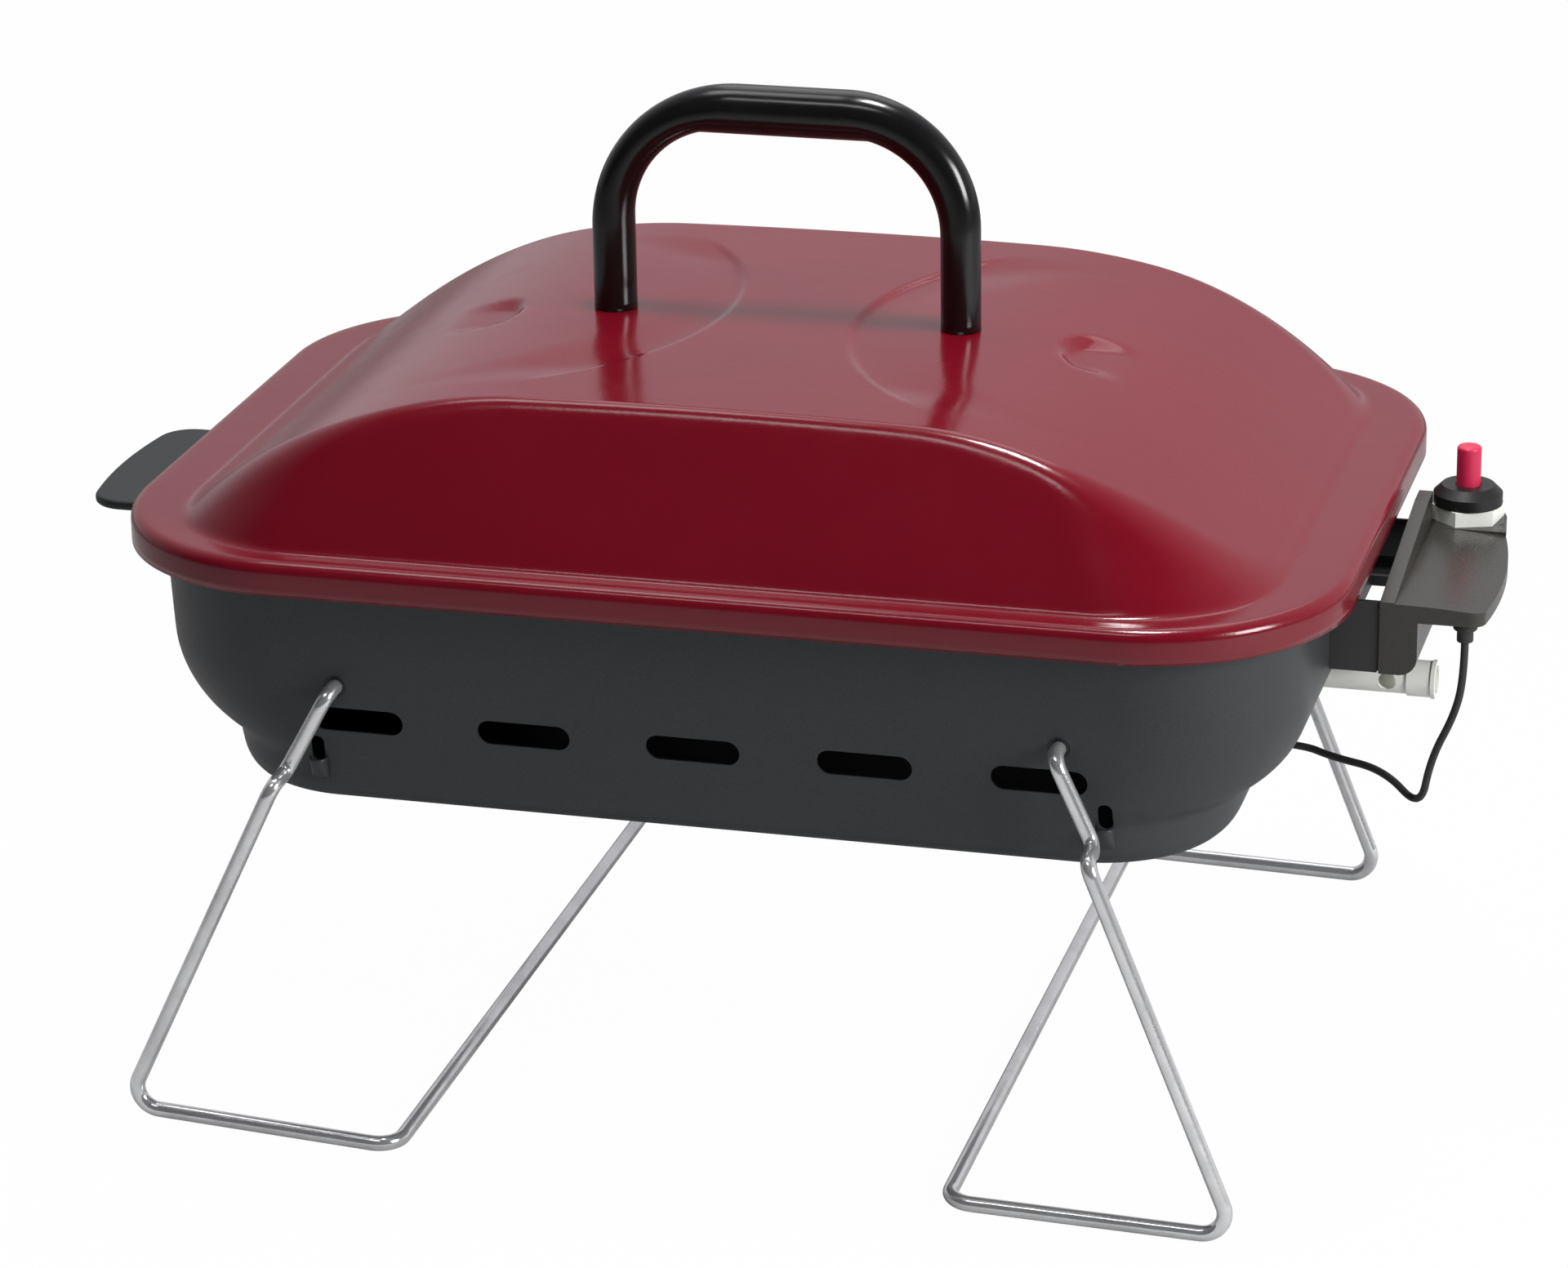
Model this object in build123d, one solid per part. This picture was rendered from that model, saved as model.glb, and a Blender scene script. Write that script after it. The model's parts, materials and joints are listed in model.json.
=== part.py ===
from build123d import *
import os
from math import acos, cos, degrees, hypot, pi, radians, sin, tan

# Table-top gas barbecue grill.
# Millimetres, +Z up, +X along the length, the front faces -Y.
# The origin is on the standing surface, under the middle of the grill.

# ---------------------------------------------------------------- driving sizes

sheet = 1.0                    # pressed steel of the lid and the bowl
fine_gap = 0.3                 # between parts that move past each other
screw_diameter = 5.0
screw_hole = 5.8
screw_gap = 0.1                # round a screw or a barrel, in the part that holds it
small_screw = 4.0
small_nut = 7.0                # across flats
small_nut_height = 3.0

# Bowl
bowl_half_length = 223.5
bowl_half_width = 152.3        # at the underside of the lid's skirt
bowl_corner = 60.0
wall_draft = 6.5               # degrees, front and back walls
bowl_bottom = 133.0
step_height = 16.0             # bottom pan, below the pressed step in the end walls
step_inset = 22.5              # of the pan's ends, in from the bowl's
pan_edge = 13.0
end_curve_start = 194.0        # above this height the end walls are upright

# Lid
skirt_bottom = 224.0
skirt_depth = 13.0
skirt_reach_x = 15.5           # of the lid, past the bowl
skirt_reach_y = 11.5
lid_corner = 78.0
lid_edge = 4.5
side_ledge = 11.3              # from the lid's edge to the foot of the dome
end_ledge = 22.5
dome_draft = 30.0              # degrees, front and back faces of the dome
dome_corner = 62.0             # in plan, the same from foot to crown
crown_height = 57.5            # above the flange
crown_half = 75.0
crown_angle = 1.35
shoulder_radius = 205.0
shoulder_end_angle = 36.0
dome_edge = 8.0
overrun = 20.0                 # of solids and cutters past what they trim

# Lid handle
handle_half_span = 71.5
handle_top = 386.2
handle_bend = 51.0
handle_leg_diameter = 16.9
handle_neck_diameter = 15.2    # half way round the bends
handle_bar_diameter = 18.6
handle_screw_length = 20.0
washer_diameter = 15.0
washer_thickness = 1.2

# Legs
wire = 6.0
pivot_x = 140.5
pivot_height = 183.0
pivot_hole = 7.3
arm_inset = 6.8                # upper arms, under the lid's skirt
foot_outset = 7.9              # lower arms and foot bars, outside the skirt
jog_x, jog_z = 15.6, -34.2     # from the pivot, outward and up; swings clear under the lid's skirt
outer_x = 73.1                 # outer foot corner, outward of the pivot
inner_x, inner_lift = -37.8, 2.3
leg_bends = [6.0, 5.5, 5.5, 9.0, 10.0]
stub_inside = 12.0
clip_diameter = 13.0
clip_thickness = 1.2

# Vents and leg stops
slot_count = 5
slot_pitch = 66.4
slot_length = 36.6
slot_width = 10.0
slot_drop = 14.1               # of the slots' middle, below the pivots
stop_x = 155.0
stop_width = 7.0
stop_low, stop_high = 146.0, 160.0
stop_reach = 5.5

# Side handles
side_reach = 60.5              # of the side handles, past the bowl's ends
side_plate_top = 211.5
side_screw_y = 25.0
side_screw_drop = 11.5         # from the top of the side plates
boss_diameter = 11.0
lug_rise = 1.5                 # above the control housing's plate
lug_thickness = 3.8
lug_half_width = 47.0
lug_flange = 5.0
lug_bow = 5.0                  # fall of the outer edge from its middle to its corners
lug_corner = 14.0
lug_web = 26.0
lug_boss = 14.0
plate_corner = 6.0
strap_sheet = 1.6
bracket_depth = 19.0           # from the bowl to the control housing
strap_gap = 0.8                # the spacers stand proud of the strap
spacer_diameter = 8.0
housing_front, housing_back = -47.0, 50.0
housing_bottom = 183.0
housing_wall = 2.5
housing_box_depth = 14.5
housing_lip = 7.0
box_back = 44.0
upstand_thickness = 5.5
upstand_rise = 12.0
upstand_flat = 12.0            # level stretch at the upstand's back end
plate_bow_y = -16.0            # where the plate reaches furthest out
plate_front_fall = 2.6         # of the outer edge, toward the front corner
plate_back_fall = 8.0
plate_camber = 2.0             # fall of the plate's top toward its outer edge

# Igniter
igniter_offset = 18.3          # from the housing's inner face
igniter_y = 57.0
igniter_lug_radius = 15.5
barrel_diameter = 18.0
barrel_length = 38.0
nut_across_flats = 25.5
nut_height = 6.0
nut_turn = 19.0                # degrees
collar_diameter = 27.2
collar_height = 4.5
collar_taper = 3.2
collar_taper_angle = 45.0
button_diameter = 9.6
button_rise = 15.8
button_travel = 5.0
button_depth = 12.0

# Gas tube and burner
tube_drop = 19.0               # of the tube's middle, below the control housing
tube_diameter = 13.0
tube_wall = 1.2
tube_overlap = 10.0            # of the mixing tube in the burner's neck
cup_reach = 16.0               # of the jet cup's mouth, past the housing's inner face
cup_length = 11.0
cup_overlap = 3.0
cup_diameter = 14.4
jet_bore = 11.0
air_hole = 7.0
air_hole_inset = 18.5          # from the cup's mouth
burner_diameter = 22.0
burner_wall = 0.9
neck_length = 12.0
neck_taper = 10.0
port_diameter = 2.4
port_count = 16
port_pitch = 17.0
tab_length = 16.0
tab_gap = 2.0                  # from the tab to the bracket's upright
bracket_foot = 14.0
foot_margin = 6.0              # from the bracket's foot to the curve of the pan
tab_width = 14.0
tab_thickness = 1.6
bracket_sheet = 1.2
floor_screw_length = 6.0

# Heat plate and grid
plate_clearance = 20.0         # from the heat plate's end to the electrode
plate_half_width = 55.0
plate_flat = 8.0
plate_inset = 6.0              # end plates, in from the eaves
ridge_rise = 33.0              # above the burner's middle
eave_rise = 16.0
notch_gap = 1.5                # round the burner, in the heat plate's ends
grid_shelf = 212.0
shelf_depth = 13.0
support_half_width = 40.0
grid_wire = 3.0
grid_frame = 5.0
grid_gap_x = 5.5               # from the bowl to the grid's frame
grid_gap_y = 9.3
grid_corner = 52.0
grid_bars = 27
weld_sink = 0.4

# Electrode and lead
electrode_margin = 20.0        # from the electrode to the curve of the pan
electrode_y = 20.0
neck_past_electrode = 24.0       # end of the burner's neck, past the electrode
electrode_screw_y = 35.0
ceramic_diameter = 7.0
ceramic_hole = 7.6
ceramic_below = 6.0            # under the bowl
rod_rise = 5.5                 # of the electrode, out of the ceramic
spark_rod = 2.0
spark_gap = 3.5
lead_diameter = 3.0
lead_drop = 3.0                # of the lead's end, under the ceramic
terminal_reach = 10.5
terminal_diameter = 5.6
boot_inset = 10.0              # from the furthest reach of the plate
boot_y = -39.0
boot_drop = 15.7               # below the plate's top
boot_taper = 6.2
boot_diameter = 9.0

# ---------------------------------------------------------------- derived places

lid_half_length = bowl_half_length + skirt_reach_x
lid_half_width = bowl_half_width + skirt_reach_y
dome_prism_half_length = lid_half_length - end_ledge
dome_half_width = lid_half_width - side_ledge
flange_top = skirt_bottom + skirt_depth
rim_top = flange_top - sheet
pan_top = bowl_bottom + step_height
floor_top = bowl_bottom + sheet
crown_z = flange_top + crown_height
crown_radius = crown_half / sin(radians(crown_angle))
arm_plane = lid_half_width - arm_inset
foot_plane = lid_half_width + foot_outset
slot_height = pivot_height - slot_drop
stand_height = pivot_height - wire / 2
inner_reach = hypot(inner_x, inner_lift - stand_height)
barrel_bottom = side_plate_top - barrel_length
collar_bottom = side_plate_top + nut_height
collar_top = collar_bottom + collar_height + collar_taper
button_bottom = collar_top - button_depth
button_bore = button_diameter + 2 * fine_gap
handle_reach = bowl_half_length + side_reach
housing_inner = bowl_half_length + bracket_depth
igniter_x = housing_inner + igniter_offset
tube_height = housing_bottom - tube_drop
tube_end = housing_inner + cup_reach
air_hole_x = tube_end - air_hole_inset
side_screw_height = side_plate_top - side_screw_drop
lug_top = side_plate_top + lug_rise
pan_half_length = bowl_half_length - step_inset
pan_flat = pan_half_length - pan_edge
electrode_x = pan_flat - electrode_margin
ceramic_low = bowl_bottom - ceramic_below
ceramic_high = tube_height - rod_rise
lead_z = ceramic_low - lead_drop
terminal_x = electrode_x + terminal_reach
burner_left = tab_length + tab_gap + bracket_foot + foot_margin - pan_flat
burner_right = electrode_x + neck_past_electrode
tube_start = burner_right - tube_overlap
plate_half_length = electrode_x - plate_clearance
plate_ridge = tube_height + ridge_rise
plate_eave = tube_height + eave_rise
grid_half_length = bowl_half_length - grid_gap_x
grid_half_width = bowl_half_width - grid_gap_y
boot_x = handle_reach - boot_inset
boot_bottom = side_plate_top - boot_drop
boot_step = boot_bottom + boot_taper
tab_hole_x = burner_left - tab_length / 2
bracket_screw_x = burner_left - tab_length - tab_gap - bracket_foot / 2
floor_holes = [
    (electrode_x, electrode_y, ceramic_hole),
    (electrode_x, electrode_screw_y, small_screw + 0.4),
    (bracket_screw_x, 0, small_screw + 0.4),
]

# ---------------------------------------------------------------- helpers


def wall_y(z):
    """Half width of the bowl outside, at height z."""
    return bowl_half_width - (skirt_bottom - z) * tan(radians(wall_draft))


def end_x(z):
    """Half length of the bowl outside, at height z: upright, then an arc in to the step."""
    if z >= end_curve_start:
        return bowl_half_length
    run = bowl_half_length - pan_half_length
    drop = end_curve_start - pan_top
    radius = (run * run + drop * drop) / (2 * run)
    return bowl_half_length - radius + (radius**2 - (end_curve_start - z) ** 2) ** 0.5


def rounded(half_x, half_y, corner, z):
    return Plane.XY.offset(z) * RectangleRounded(2 * half_x, 2 * half_y, corner)


def slab(half_x, half_y, corner, z, height):
    return extrude(rounded(half_x, half_y, corner, z), height)


def rod(start, end, diameter):
    start, end = Vector(start), Vector(end)
    return extrude(Plane(start, z_dir=end - start) * Circle(diameter / 2), (end - start).length)


def tube(start, end, diameter, bore):
    return rod(start, end, diameter) - rod(start, end, bore)


def box(low, high):
    size = [b - a for a, b in zip(low, high)]
    return Pos(*low) * Box(*size, align=(Align.MIN,) * 3)


def obround(length, width, depth):
    """A slot cutter that runs along Y."""
    return extrude(Plane.XZ * SlotOverall(length, width), depth, both=True)


def group(parts):
    """Separate solids of one node."""
    return Compound(children=[s for p in parts for s in p.solids()])


# ---------------------------------------------------------------- bowl


def bowl_form(inset):
    """The bowl as a solid, drawn in by inset: upright part, curved ends, bottom pan."""
    corner = bowl_corner - inset
    levels = [end_curve_start - i * (end_curve_start - pan_top) / 5 for i in range(6)]
    sections = [rounded(end_x(z) - inset, wall_y(z) - inset, corner, z) for z in [rim_top, *levels]]
    form = loft(sections[:2], ruled=True) + loft(sections[1:])
    pan_wall = wall_y(pan_top) - inset
    pan = slab(pan_half_length - inset, pan_wall, corner, bowl_bottom + inset, step_height - inset)
    return form + fillet(pan.edges().group_by(Axis.Z)[0], pan_edge - inset)


def leg_stops():
    """Lanced tabs that the arms snap past, and the windows that they are bent out of."""
    top_y, tip_y = wall_y(stop_high), wall_y(stop_low) + stop_reach
    outline = Polyline(
        (-top_y, stop_high),
        (-tip_y, stop_low),
        (-tip_y + sheet, stop_low),
        (-top_y + sheet, stop_high),
        close=True,
    )
    tab = extrude(Plane.YZ * make_face(outline), stop_width / 2, both=True)
    window = Box(stop_width + 0.6, 4 * bowl_half_width, stop_high - stop_low - 2 * sheet)
    window = Pos(0, 0, (stop_low + stop_high) / 2) * window
    tabs = [Pos(x, 0, 0) * t for x in (-stop_x, stop_x) for t in (tab, mirror(tab, Plane.XZ))]
    return tabs, [Pos(x, 0, 0) * window for x in (-stop_x, stop_x)]


def bowl_rim():
    """Outward rim that the lid's flange sits on."""
    lap = lid_edge + fine_gap      # clear of the curve inside the lid's edge
    plate = slab(lid_half_length - lap, lid_half_width - lap, lid_corner - lap, rim_top - sheet, sheet)
    inner_x, inner_y = bowl_half_length - sheet, wall_y(rim_top) - sheet
    return plate - slab(inner_x, inner_y, bowl_corner - sheet, rim_top - 2 * sheet, 3 * sheet)


def bowl():
    tabs, windows = leg_stops()
    shell = bowl_form(0) - bowl_form(sheet) + bowl_rim()
    for i in range(slot_count):
        x = (i - (slot_count - 1) / 2) * slot_pitch
        shell -= Pos(x, 0, slot_height) * obround(slot_length, slot_width, bowl_half_width + overrun)
    for x in (-pivot_x, pivot_x):
        shell -= rod((x, -bowl_half_width, pivot_height), (x, bowl_half_width, pivot_height), pivot_hole)
    shell -= windows
    shell += tabs
    reach = bowl_half_length + overrun
    for y in (-side_screw_y, side_screw_y):
        shell -= rod((-reach, y, side_screw_height), (reach, y, side_screw_height), screw_hole)
    shell -= rod((pan_half_length, 0, tube_height), (reach, 0, tube_height), tube_diameter + 2 * fine_gap)
    for x, y, bore in floor_holes:
        shell -= rod((x, y, bowl_bottom - 5), (x, y, floor_top + 5), bore)
    return shell


# ---------------------------------------------------------------- lid


def arc_point(center, radius, angle):
    """Point on a circle in the XZ plane, at an angle in degrees from straight up."""
    return (center[0] + radius * sin(radians(angle)), center[1] + radius * cos(radians(angle)))


def arch_profile(inset, floor):
    """Lengthwise section of the dome: near-flat crown, round shoulders, straight ends."""
    crown_center = (0, crown_z - crown_radius)
    join = arc_point(crown_center, crown_radius, crown_angle)
    bend_center = arc_point(join, -shoulder_radius, crown_angle)
    top = arc_point(crown_center, crown_radius - inset, 0)
    top_middle = arc_point(crown_center, crown_radius - inset, crown_angle / 2)
    join = arc_point(crown_center, crown_radius - inset, crown_angle)
    middle = arc_point(bend_center, shoulder_radius - inset, (crown_angle + shoulder_end_angle) / 2)
    end = arc_point(bend_center, shoulder_radius - inset, shoulder_end_angle)
    foot = (end[0] + (end[1] - floor) / tan(radians(shoulder_end_angle)), floor)
    half = [
        ThreePointArc(top, top_middle, join),
        ThreePointArc(join, middle, end),
        Line(end, foot),
        Line(foot, (0, floor)),
        Line((0, floor), top),
    ]
    face = Plane.XZ * make_face(half)
    return face + mirror(face, Plane.YZ)


def dome_outline(z, inset):
    """Plan of the dome's four sides at a height, drawn in by inset."""
    draw_in = (z - flange_top) * tan(radians(dome_draft)) + inset / cos(radians(dome_draft))
    return rounded(dome_prism_half_length - draw_in, dome_half_width - draw_in, dome_corner - inset, z)


def lid_form(inset):
    """The lid as a solid, drawn in by inset: flange with its skirt, and the dome."""
    flange = slab(
        lid_half_length - inset, lid_half_width - inset, lid_corner - inset, skirt_bottom, skirt_depth - inset
    )
    flange = fillet(flange.edges().group_by(Axis.Z)[-1], lid_edge - inset)
    base, peak = flange_top - inset - lid_edge, crown_z + lid_edge
    prism = loft([dome_outline(base, inset), dome_outline(peak, inset)], ruled=True)
    arch = extrude(arch_profile(inset, base), dome_half_width + overrun, both=True)
    dome = arch & prism
    arch_edges = [e for f in dome.faces() if is_arch_face(f) for e in f.edges()]
    side_edges = [e for f in dome.faces() if abs(f.normal_at().Y) > 0.05 for e in f.edges()]
    dome = fillet([e for e in side_edges if e in arch_edges], dome_edge - inset)
    return flange + dome


def is_arch_face(face):
    normal = face.normal_at()
    return abs(normal.Y) < 0.01 and normal.Z > 0.1


def lid():
    shell = lid_form(0) - lid_form(sheet)
    for x in (-handle_half_span, handle_half_span):
        shell -= rod((x, 0, crown_z - 10), (x, 0, crown_z + 10), screw_hole)
    return shell


def dome_top(x, inset=0):
    """Height of the dome at its middle width, at a distance x along its length."""
    if x <= crown_half:
        return crown_z - crown_radius + ((crown_radius - inset) ** 2 - x * x) ** 0.5
    join = arc_point((0, crown_z - crown_radius), crown_radius, crown_angle)
    bend = arc_point(join, -shoulder_radius, crown_angle)
    return bend[1] + ((shoulder_radius - inset) ** 2 - (x - bend[0]) ** 2) ** 0.5


def lid_handle():
    """Moulded loop, slim in the legs and full across the grip."""
    x = handle_half_span
    foot = dome_top(x - handle_leg_diameter / 2)
    grip_z = handle_top - handle_bar_diameter / 2
    path = FilletPolyline((-x, 0, foot), (-x, 0, grip_z), (x, 0, grip_z), (x, 0, foot), radius=handle_bend)
    leg_share = (grip_z - handle_bend - foot) / path.length
    neck_share = leg_share + handle_bend * pi / 4 / path.length
    stations = [
        (0, handle_leg_diameter),
        (leg_share, handle_leg_diameter),
        (neck_share, handle_neck_diameter),
        (0.5, handle_bar_diameter),
        (1 - neck_share, handle_neck_diameter),
        (1 - leg_share, handle_leg_diameter),
        (1, handle_leg_diameter),
    ]
    sections = [Plane(path @ t, x_dir=(0, 1, 0), z_dir=path % t) * Circle(d / 2) for t, d in stations]
    loop = sweep(sections, path=path, multisection=True)
    for side in (-x, x):
        loop -= rod((side, 0, foot - 1), (side, 0, foot + handle_screw_length), screw_diameter + 2 * screw_gap)
    return loop


def handle_washers():
    top = dome_top(handle_half_span + washer_diameter / 2, sheet)
    return group(
        tube((x, 0, top - washer_thickness), (x, 0, top), washer_diameter, screw_hole)
        for x in (-handle_half_span, handle_half_span)
    )


def pan_screw(seat, direction, length, diameter):
    """Pan-head screw: the underside of its head is at seat, its shank points along direction."""
    seat, direction = Vector(seat), Vector(direction)
    crown = seat - direction * 0.6 * diameter
    head = rod(crown, seat, 2 * diameter)
    head = fillet(head.edges().sort_by(Axis(seat, direction))[0], 0.3 * diameter)
    cross = Rectangle(diameter, 0.2 * diameter) + Rectangle(0.2 * diameter, diameter)
    recess = extrude(Plane(crown, z_dir=direction) * cross, 0.3 * diameter)
    return head - recess + rod(seat, seat + direction * length, diameter)


def handle_screws():
    seat = dome_top(handle_half_span + washer_diameter / 2, sheet) - washer_thickness
    return group(
        pan_screw((x, 0, seat), (0, 0, 1), handle_screw_length, screw_diameter)
        for x in (-handle_half_span, handle_half_span)
    )


# ---------------------------------------------------------------- legs


def swung(point, angle):
    """A point of the leg (outward, up) after the leg has swung outward about its pivot."""
    x, z = point
    a = radians(angle)
    return (x * cos(a) - z * sin(a), x * sin(a) + z * cos(a))


def leg_path(side, splay):
    """Route of the wire: stub, arm, jog, outer corner, foot bar, cross bar, and back."""
    corners = [(0, 0), (jog_x, jog_z), (outer_x, -stand_height), (inner_x, inner_lift - stand_height)]
    places = [swung(p, splay) for p in corners]
    pivot, jog, outer, inner = [(side * (pivot_x + x), pivot_height + z) for x, z in places]
    stub_end = wall_y(pivot_height) - sheet - stub_inside
    route = [
        (pivot[0], -stub_end, pivot[1]),
        (pivot[0], -arm_plane, pivot[1]),
        (jog[0], -arm_plane, jog[1]),
        (jog[0], -foot_plane, jog[1]),
        (outer[0], -foot_plane, outer[1]),
        (inner[0], -foot_plane, inner[1]),
    ]
    return route + [(x, -y, z) for x, y, z in reversed(route)]


def leg(side, splay):
    route = leg_path(side, splay)
    path = FilletPolyline(*route, radius=leg_bends + leg_bends[::-1])
    start = Plane(route[0], z_dir=(0, -1, 0)) * Circle(wire / 2)
    return sweep(start, path=path)


def leg_clips(side):
    """Push-on washers that keep the stubs in their holes."""
    x = side * pivot_x
    face = wall_y(pivot_height - clip_diameter / 2) - sheet - fine_gap
    clip = tube((x, -face + clip_thickness, pivot_height), (x, -face, pivot_height), clip_diameter, wire)
    return group([clip, mirror(clip, Plane.XZ)])


# ---------------------------------------------------------------- side handles


def side_screws(side, length):
    x = side * (bowl_half_length - 2 * sheet)
    places = [(x, y, side_screw_height) for y in (-side_screw_y, side_screw_y)]
    return group(pan_screw(p, (side, 0, 0), length, screw_diameter) for p in places)


def screw_bosses(start, length, bore_length):
    """Bosses along +X for the side screws, and the bores in them."""
    bosses, bores = [], []
    for y in (-side_screw_y, side_screw_y):
        z = side_screw_height
        bosses.append(rod((start, y, z), (start + length, y, z), boss_diameter))
        bores.append(rod((start - 1, y, z), (start + bore_length, y, z), screw_diameter + 2 * screw_gap))
    return bosses, bores


def lug_handle():
    """Left carrying lug: a tongue on an upright flange, with webs under it."""
    inner, outer, half = bowl_half_length, handle_reach, lug_half_width
    shoulder = outer - lug_bow
    edge = ThreePointArc((shoulder, -half), (outer, 0), (shoulder, half))
    plan = make_face([edge, Polyline((shoulder, half), (inner, half), (inner, -half), (shoulder, -half))])
    plan = fillet(plan.vertices().sort_by(Axis.X)[-2:], lug_corner)
    tongue = Pos(0, 0, lug_top - lug_thickness) * extrude(plan, lug_thickness)
    rims = [e for e in tongue.edges() if e.center().X > inner + 1 and abs(e.tangent_at(0.5).Z) < 0.5]
    tongue = fillet(rims, 0.38 * lug_thickness)
    body = tongue + box((inner, -half, housing_bottom), (inner + lug_flange, half, lug_top - 1))
    low, top = housing_bottom + 4, lug_top - lug_thickness / 2
    web = make_face(Polyline((inner + 1, top), (inner + lug_web, top), (inner + 1, low), close=True))
    for y in (-0.76 * half, 0, 0.76 * half):
        body += Pos(0, y, 0) * extrude(Plane.XZ * web, lug_thickness / 3, both=True)
    bosses, bores = screw_bosses(inner, lug_boss, lug_boss - 2)
    return mirror(body + bosses - bores, Plane.YZ)


def side_bracket():
    """U-shaped strap on the bowl's right end, open above and below."""
    inner, outer = bowl_half_length, housing_inner - strap_gap
    low, high = housing_front + 1, housing_back - 1
    strap = box((inner, low, housing_bottom), (outer, high, side_plate_top))
    strap -= box(
        (inner + strap_sheet, low + strap_sheet, housing_bottom - 1),
        (outer + 1, high - strap_sheet, side_plate_top + 1),
    )
    for y in (-side_screw_y, side_screw_y):
        strap -= rod((inner - 1, y, side_screw_height), (inner + 5, y, side_screw_height), screw_hole)
    return strap


def bracket_spacers():
    start, end, z = bowl_half_length + strap_sheet, housing_inner, side_screw_height
    return group(
        tube((start, y, z), (end, y, z), spacer_diameter, screw_hole) for y in (-side_screw_y, side_screw_y)
    )


def plate_outline(inset):
    """Plan of the control housing's top: a bowed outer edge, and a round lug at the back."""
    x, bow = housing_inner + inset, handle_reach - inset
    front, back = housing_front + inset, housing_back - inset
    front_x, back_x = bow - plate_front_fall, bow - plate_back_fall
    edge = ThreePointArc((front_x, front), (bow, plate_bow_y), (back_x, back))
    plan = make_face([edge, Polyline((back_x, back), (x, back), (x, front), (front_x, front))])
    plan = fillet(plan.vertices().sort_by(Axis.X)[-2:], plate_corner - inset)
    return plan + Pos(igniter_x, igniter_y) * Circle(igniter_lug_radius - inset)


def plate_crown():
    """Cutter that lets the plate's top fall away toward its outer edge, in front of the igniter."""
    start, end = housing_inner + upstand_thickness, handle_reach + 1
    middle = ((start + end) / 2, side_plate_top - plate_camber / 4)
    fall = ThreePointArc((start, side_plate_top), middle, (end, side_plate_top - plate_camber))
    above = Polyline((end, side_plate_top - plate_camber), (end, side_plate_top + 2), (start, side_plate_top + 2))
    profile = make_face([fall, above, Line((start, side_plate_top + 2), (start, side_plate_top))])
    length = igniter_y - igniter_lug_radius - housing_front
    return Pos(0, housing_front + length, 0) * extrude(Plane.XZ * profile, length + 1)


def control_housing():
    """Moulded side grip: box, lipped top plate, raised inner wall and igniter lug."""
    wall, top, low = housing_wall, side_plate_top, housing_bottom
    inner, outer = housing_inner, housing_inner + housing_box_depth
    front, back = housing_front, box_back
    case = box((inner, front, low), (outer, back, top))
    case = fillet(case.edges().filter_by(Axis.Y).filter_by(lambda e: e.center().Z < top - 1)[-1:], 7)
    plate = Pos(0, 0, top - housing_lip) * extrude(plate_outline(0), housing_lip)
    under = Pos(0, 0, top - housing_lip - 1) * extrude(plate_outline(wall), housing_lip + 1 - wall)
    plate -= under - box((inner, front, low), (outer, back, top))
    case -= box((inner + wall, front + wall, low - 1), (outer - wall, back - wall, top - wall))
    side = make_face(
        Polyline(
            (front, top - housing_lip),
            (housing_back, top - housing_lip),
            (housing_back, top + upstand_rise),
            (housing_back - upstand_flat, top + upstand_rise),
            (front, top + 0.5),
            close=True,
        )
    )
    upstand = Pos(inner, 0, 0) * extrude(Plane.YZ * side, upstand_thickness)
    bosses, bores = screw_bosses(inner, housing_box_depth - wall, housing_box_depth - wall - 1)
    bore = rod((igniter_x, igniter_y, top - overrun), (igniter_x, igniter_y, top + 1), barrel_diameter + 2 * screw_gap)
    return case + plate + upstand - plate_crown() + bosses - bores - bore


# ---------------------------------------------------------------- igniter


def igniter_rod(low, high, diameter):
    return rod((igniter_x, igniter_y, low), (igniter_x, igniter_y, high), diameter)


def igniter_barrel():
    """Piezo barrel, hung under the top plate, bored from above for the button."""
    body = igniter_rod(barrel_bottom, collar_bottom, barrel_diameter)
    body = chamfer(body.edges().group_by(Axis.Z)[0], 1)
    stem = igniter_rod(barrel_bottom - 7, barrel_bottom, 5)
    return body + stem - igniter_rod(button_bottom - button_travel - 2, collar_bottom + 1, button_bore)


def igniter_nut():
    nut = extrude(RegularPolygon(nut_across_flats / 2, 6, major_radius=False), nut_height)
    nut = Pos(igniter_x, igniter_y, side_plate_top) * Rot(0, 0, nut_turn) * nut
    return nut - igniter_rod(side_plate_top - 1, collar_bottom + 1, barrel_diameter + 2 * screw_gap)


def igniter_collar():
    """Bezel round the button, with a tapered top."""
    straight = igniter_rod(collar_bottom, collar_bottom + collar_height, collar_diameter)
    at = Pos(igniter_x, igniter_y, collar_bottom + collar_height)
    taper = at * extrude(Circle(collar_diameter / 2), collar_taper, taper=collar_taper_angle)
    return straight + taper - igniter_rod(collar_bottom - 1, collar_top + 1, button_bore)


def ignition_button():
    body = igniter_rod(button_bottom, collar_top + button_rise, button_diameter)
    body = fillet(body.edges().group_by(Axis.Z)[-1], 1.2)
    return body


# ---------------------------------------------------------------- gas train


def gas_tube():
    """Mixing tube from the jet cup to the burner, with an air hole facing the front."""
    end = tube_end - cup_length + cup_overlap
    body = tube((tube_start, 0, tube_height), (end, 0, tube_height), tube_diameter, tube_diameter - 2 * tube_wall)
    return body - rod((air_hole_x, -tube_diameter, tube_height), (air_hole_x, 0, tube_height), air_hole)


def jet_cup():
    """Socket on the tube's end, for the regulator's jet."""
    start = tube_end - cup_length
    z = tube_height
    cup = rod((start, 0, z), (tube_end, 0, z), cup_diameter)
    cup += rod((tube_end - 1.6, 0, z), (tube_end, 0, z), cup_diameter + 1)
    cup -= rod((start - 1, 0, z), (start + cup_overlap, 0, z), tube_diameter + 0.1)
    return cup - rod((start, 0, z), (tube_end + 1, 0, z), jet_bore)


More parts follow.
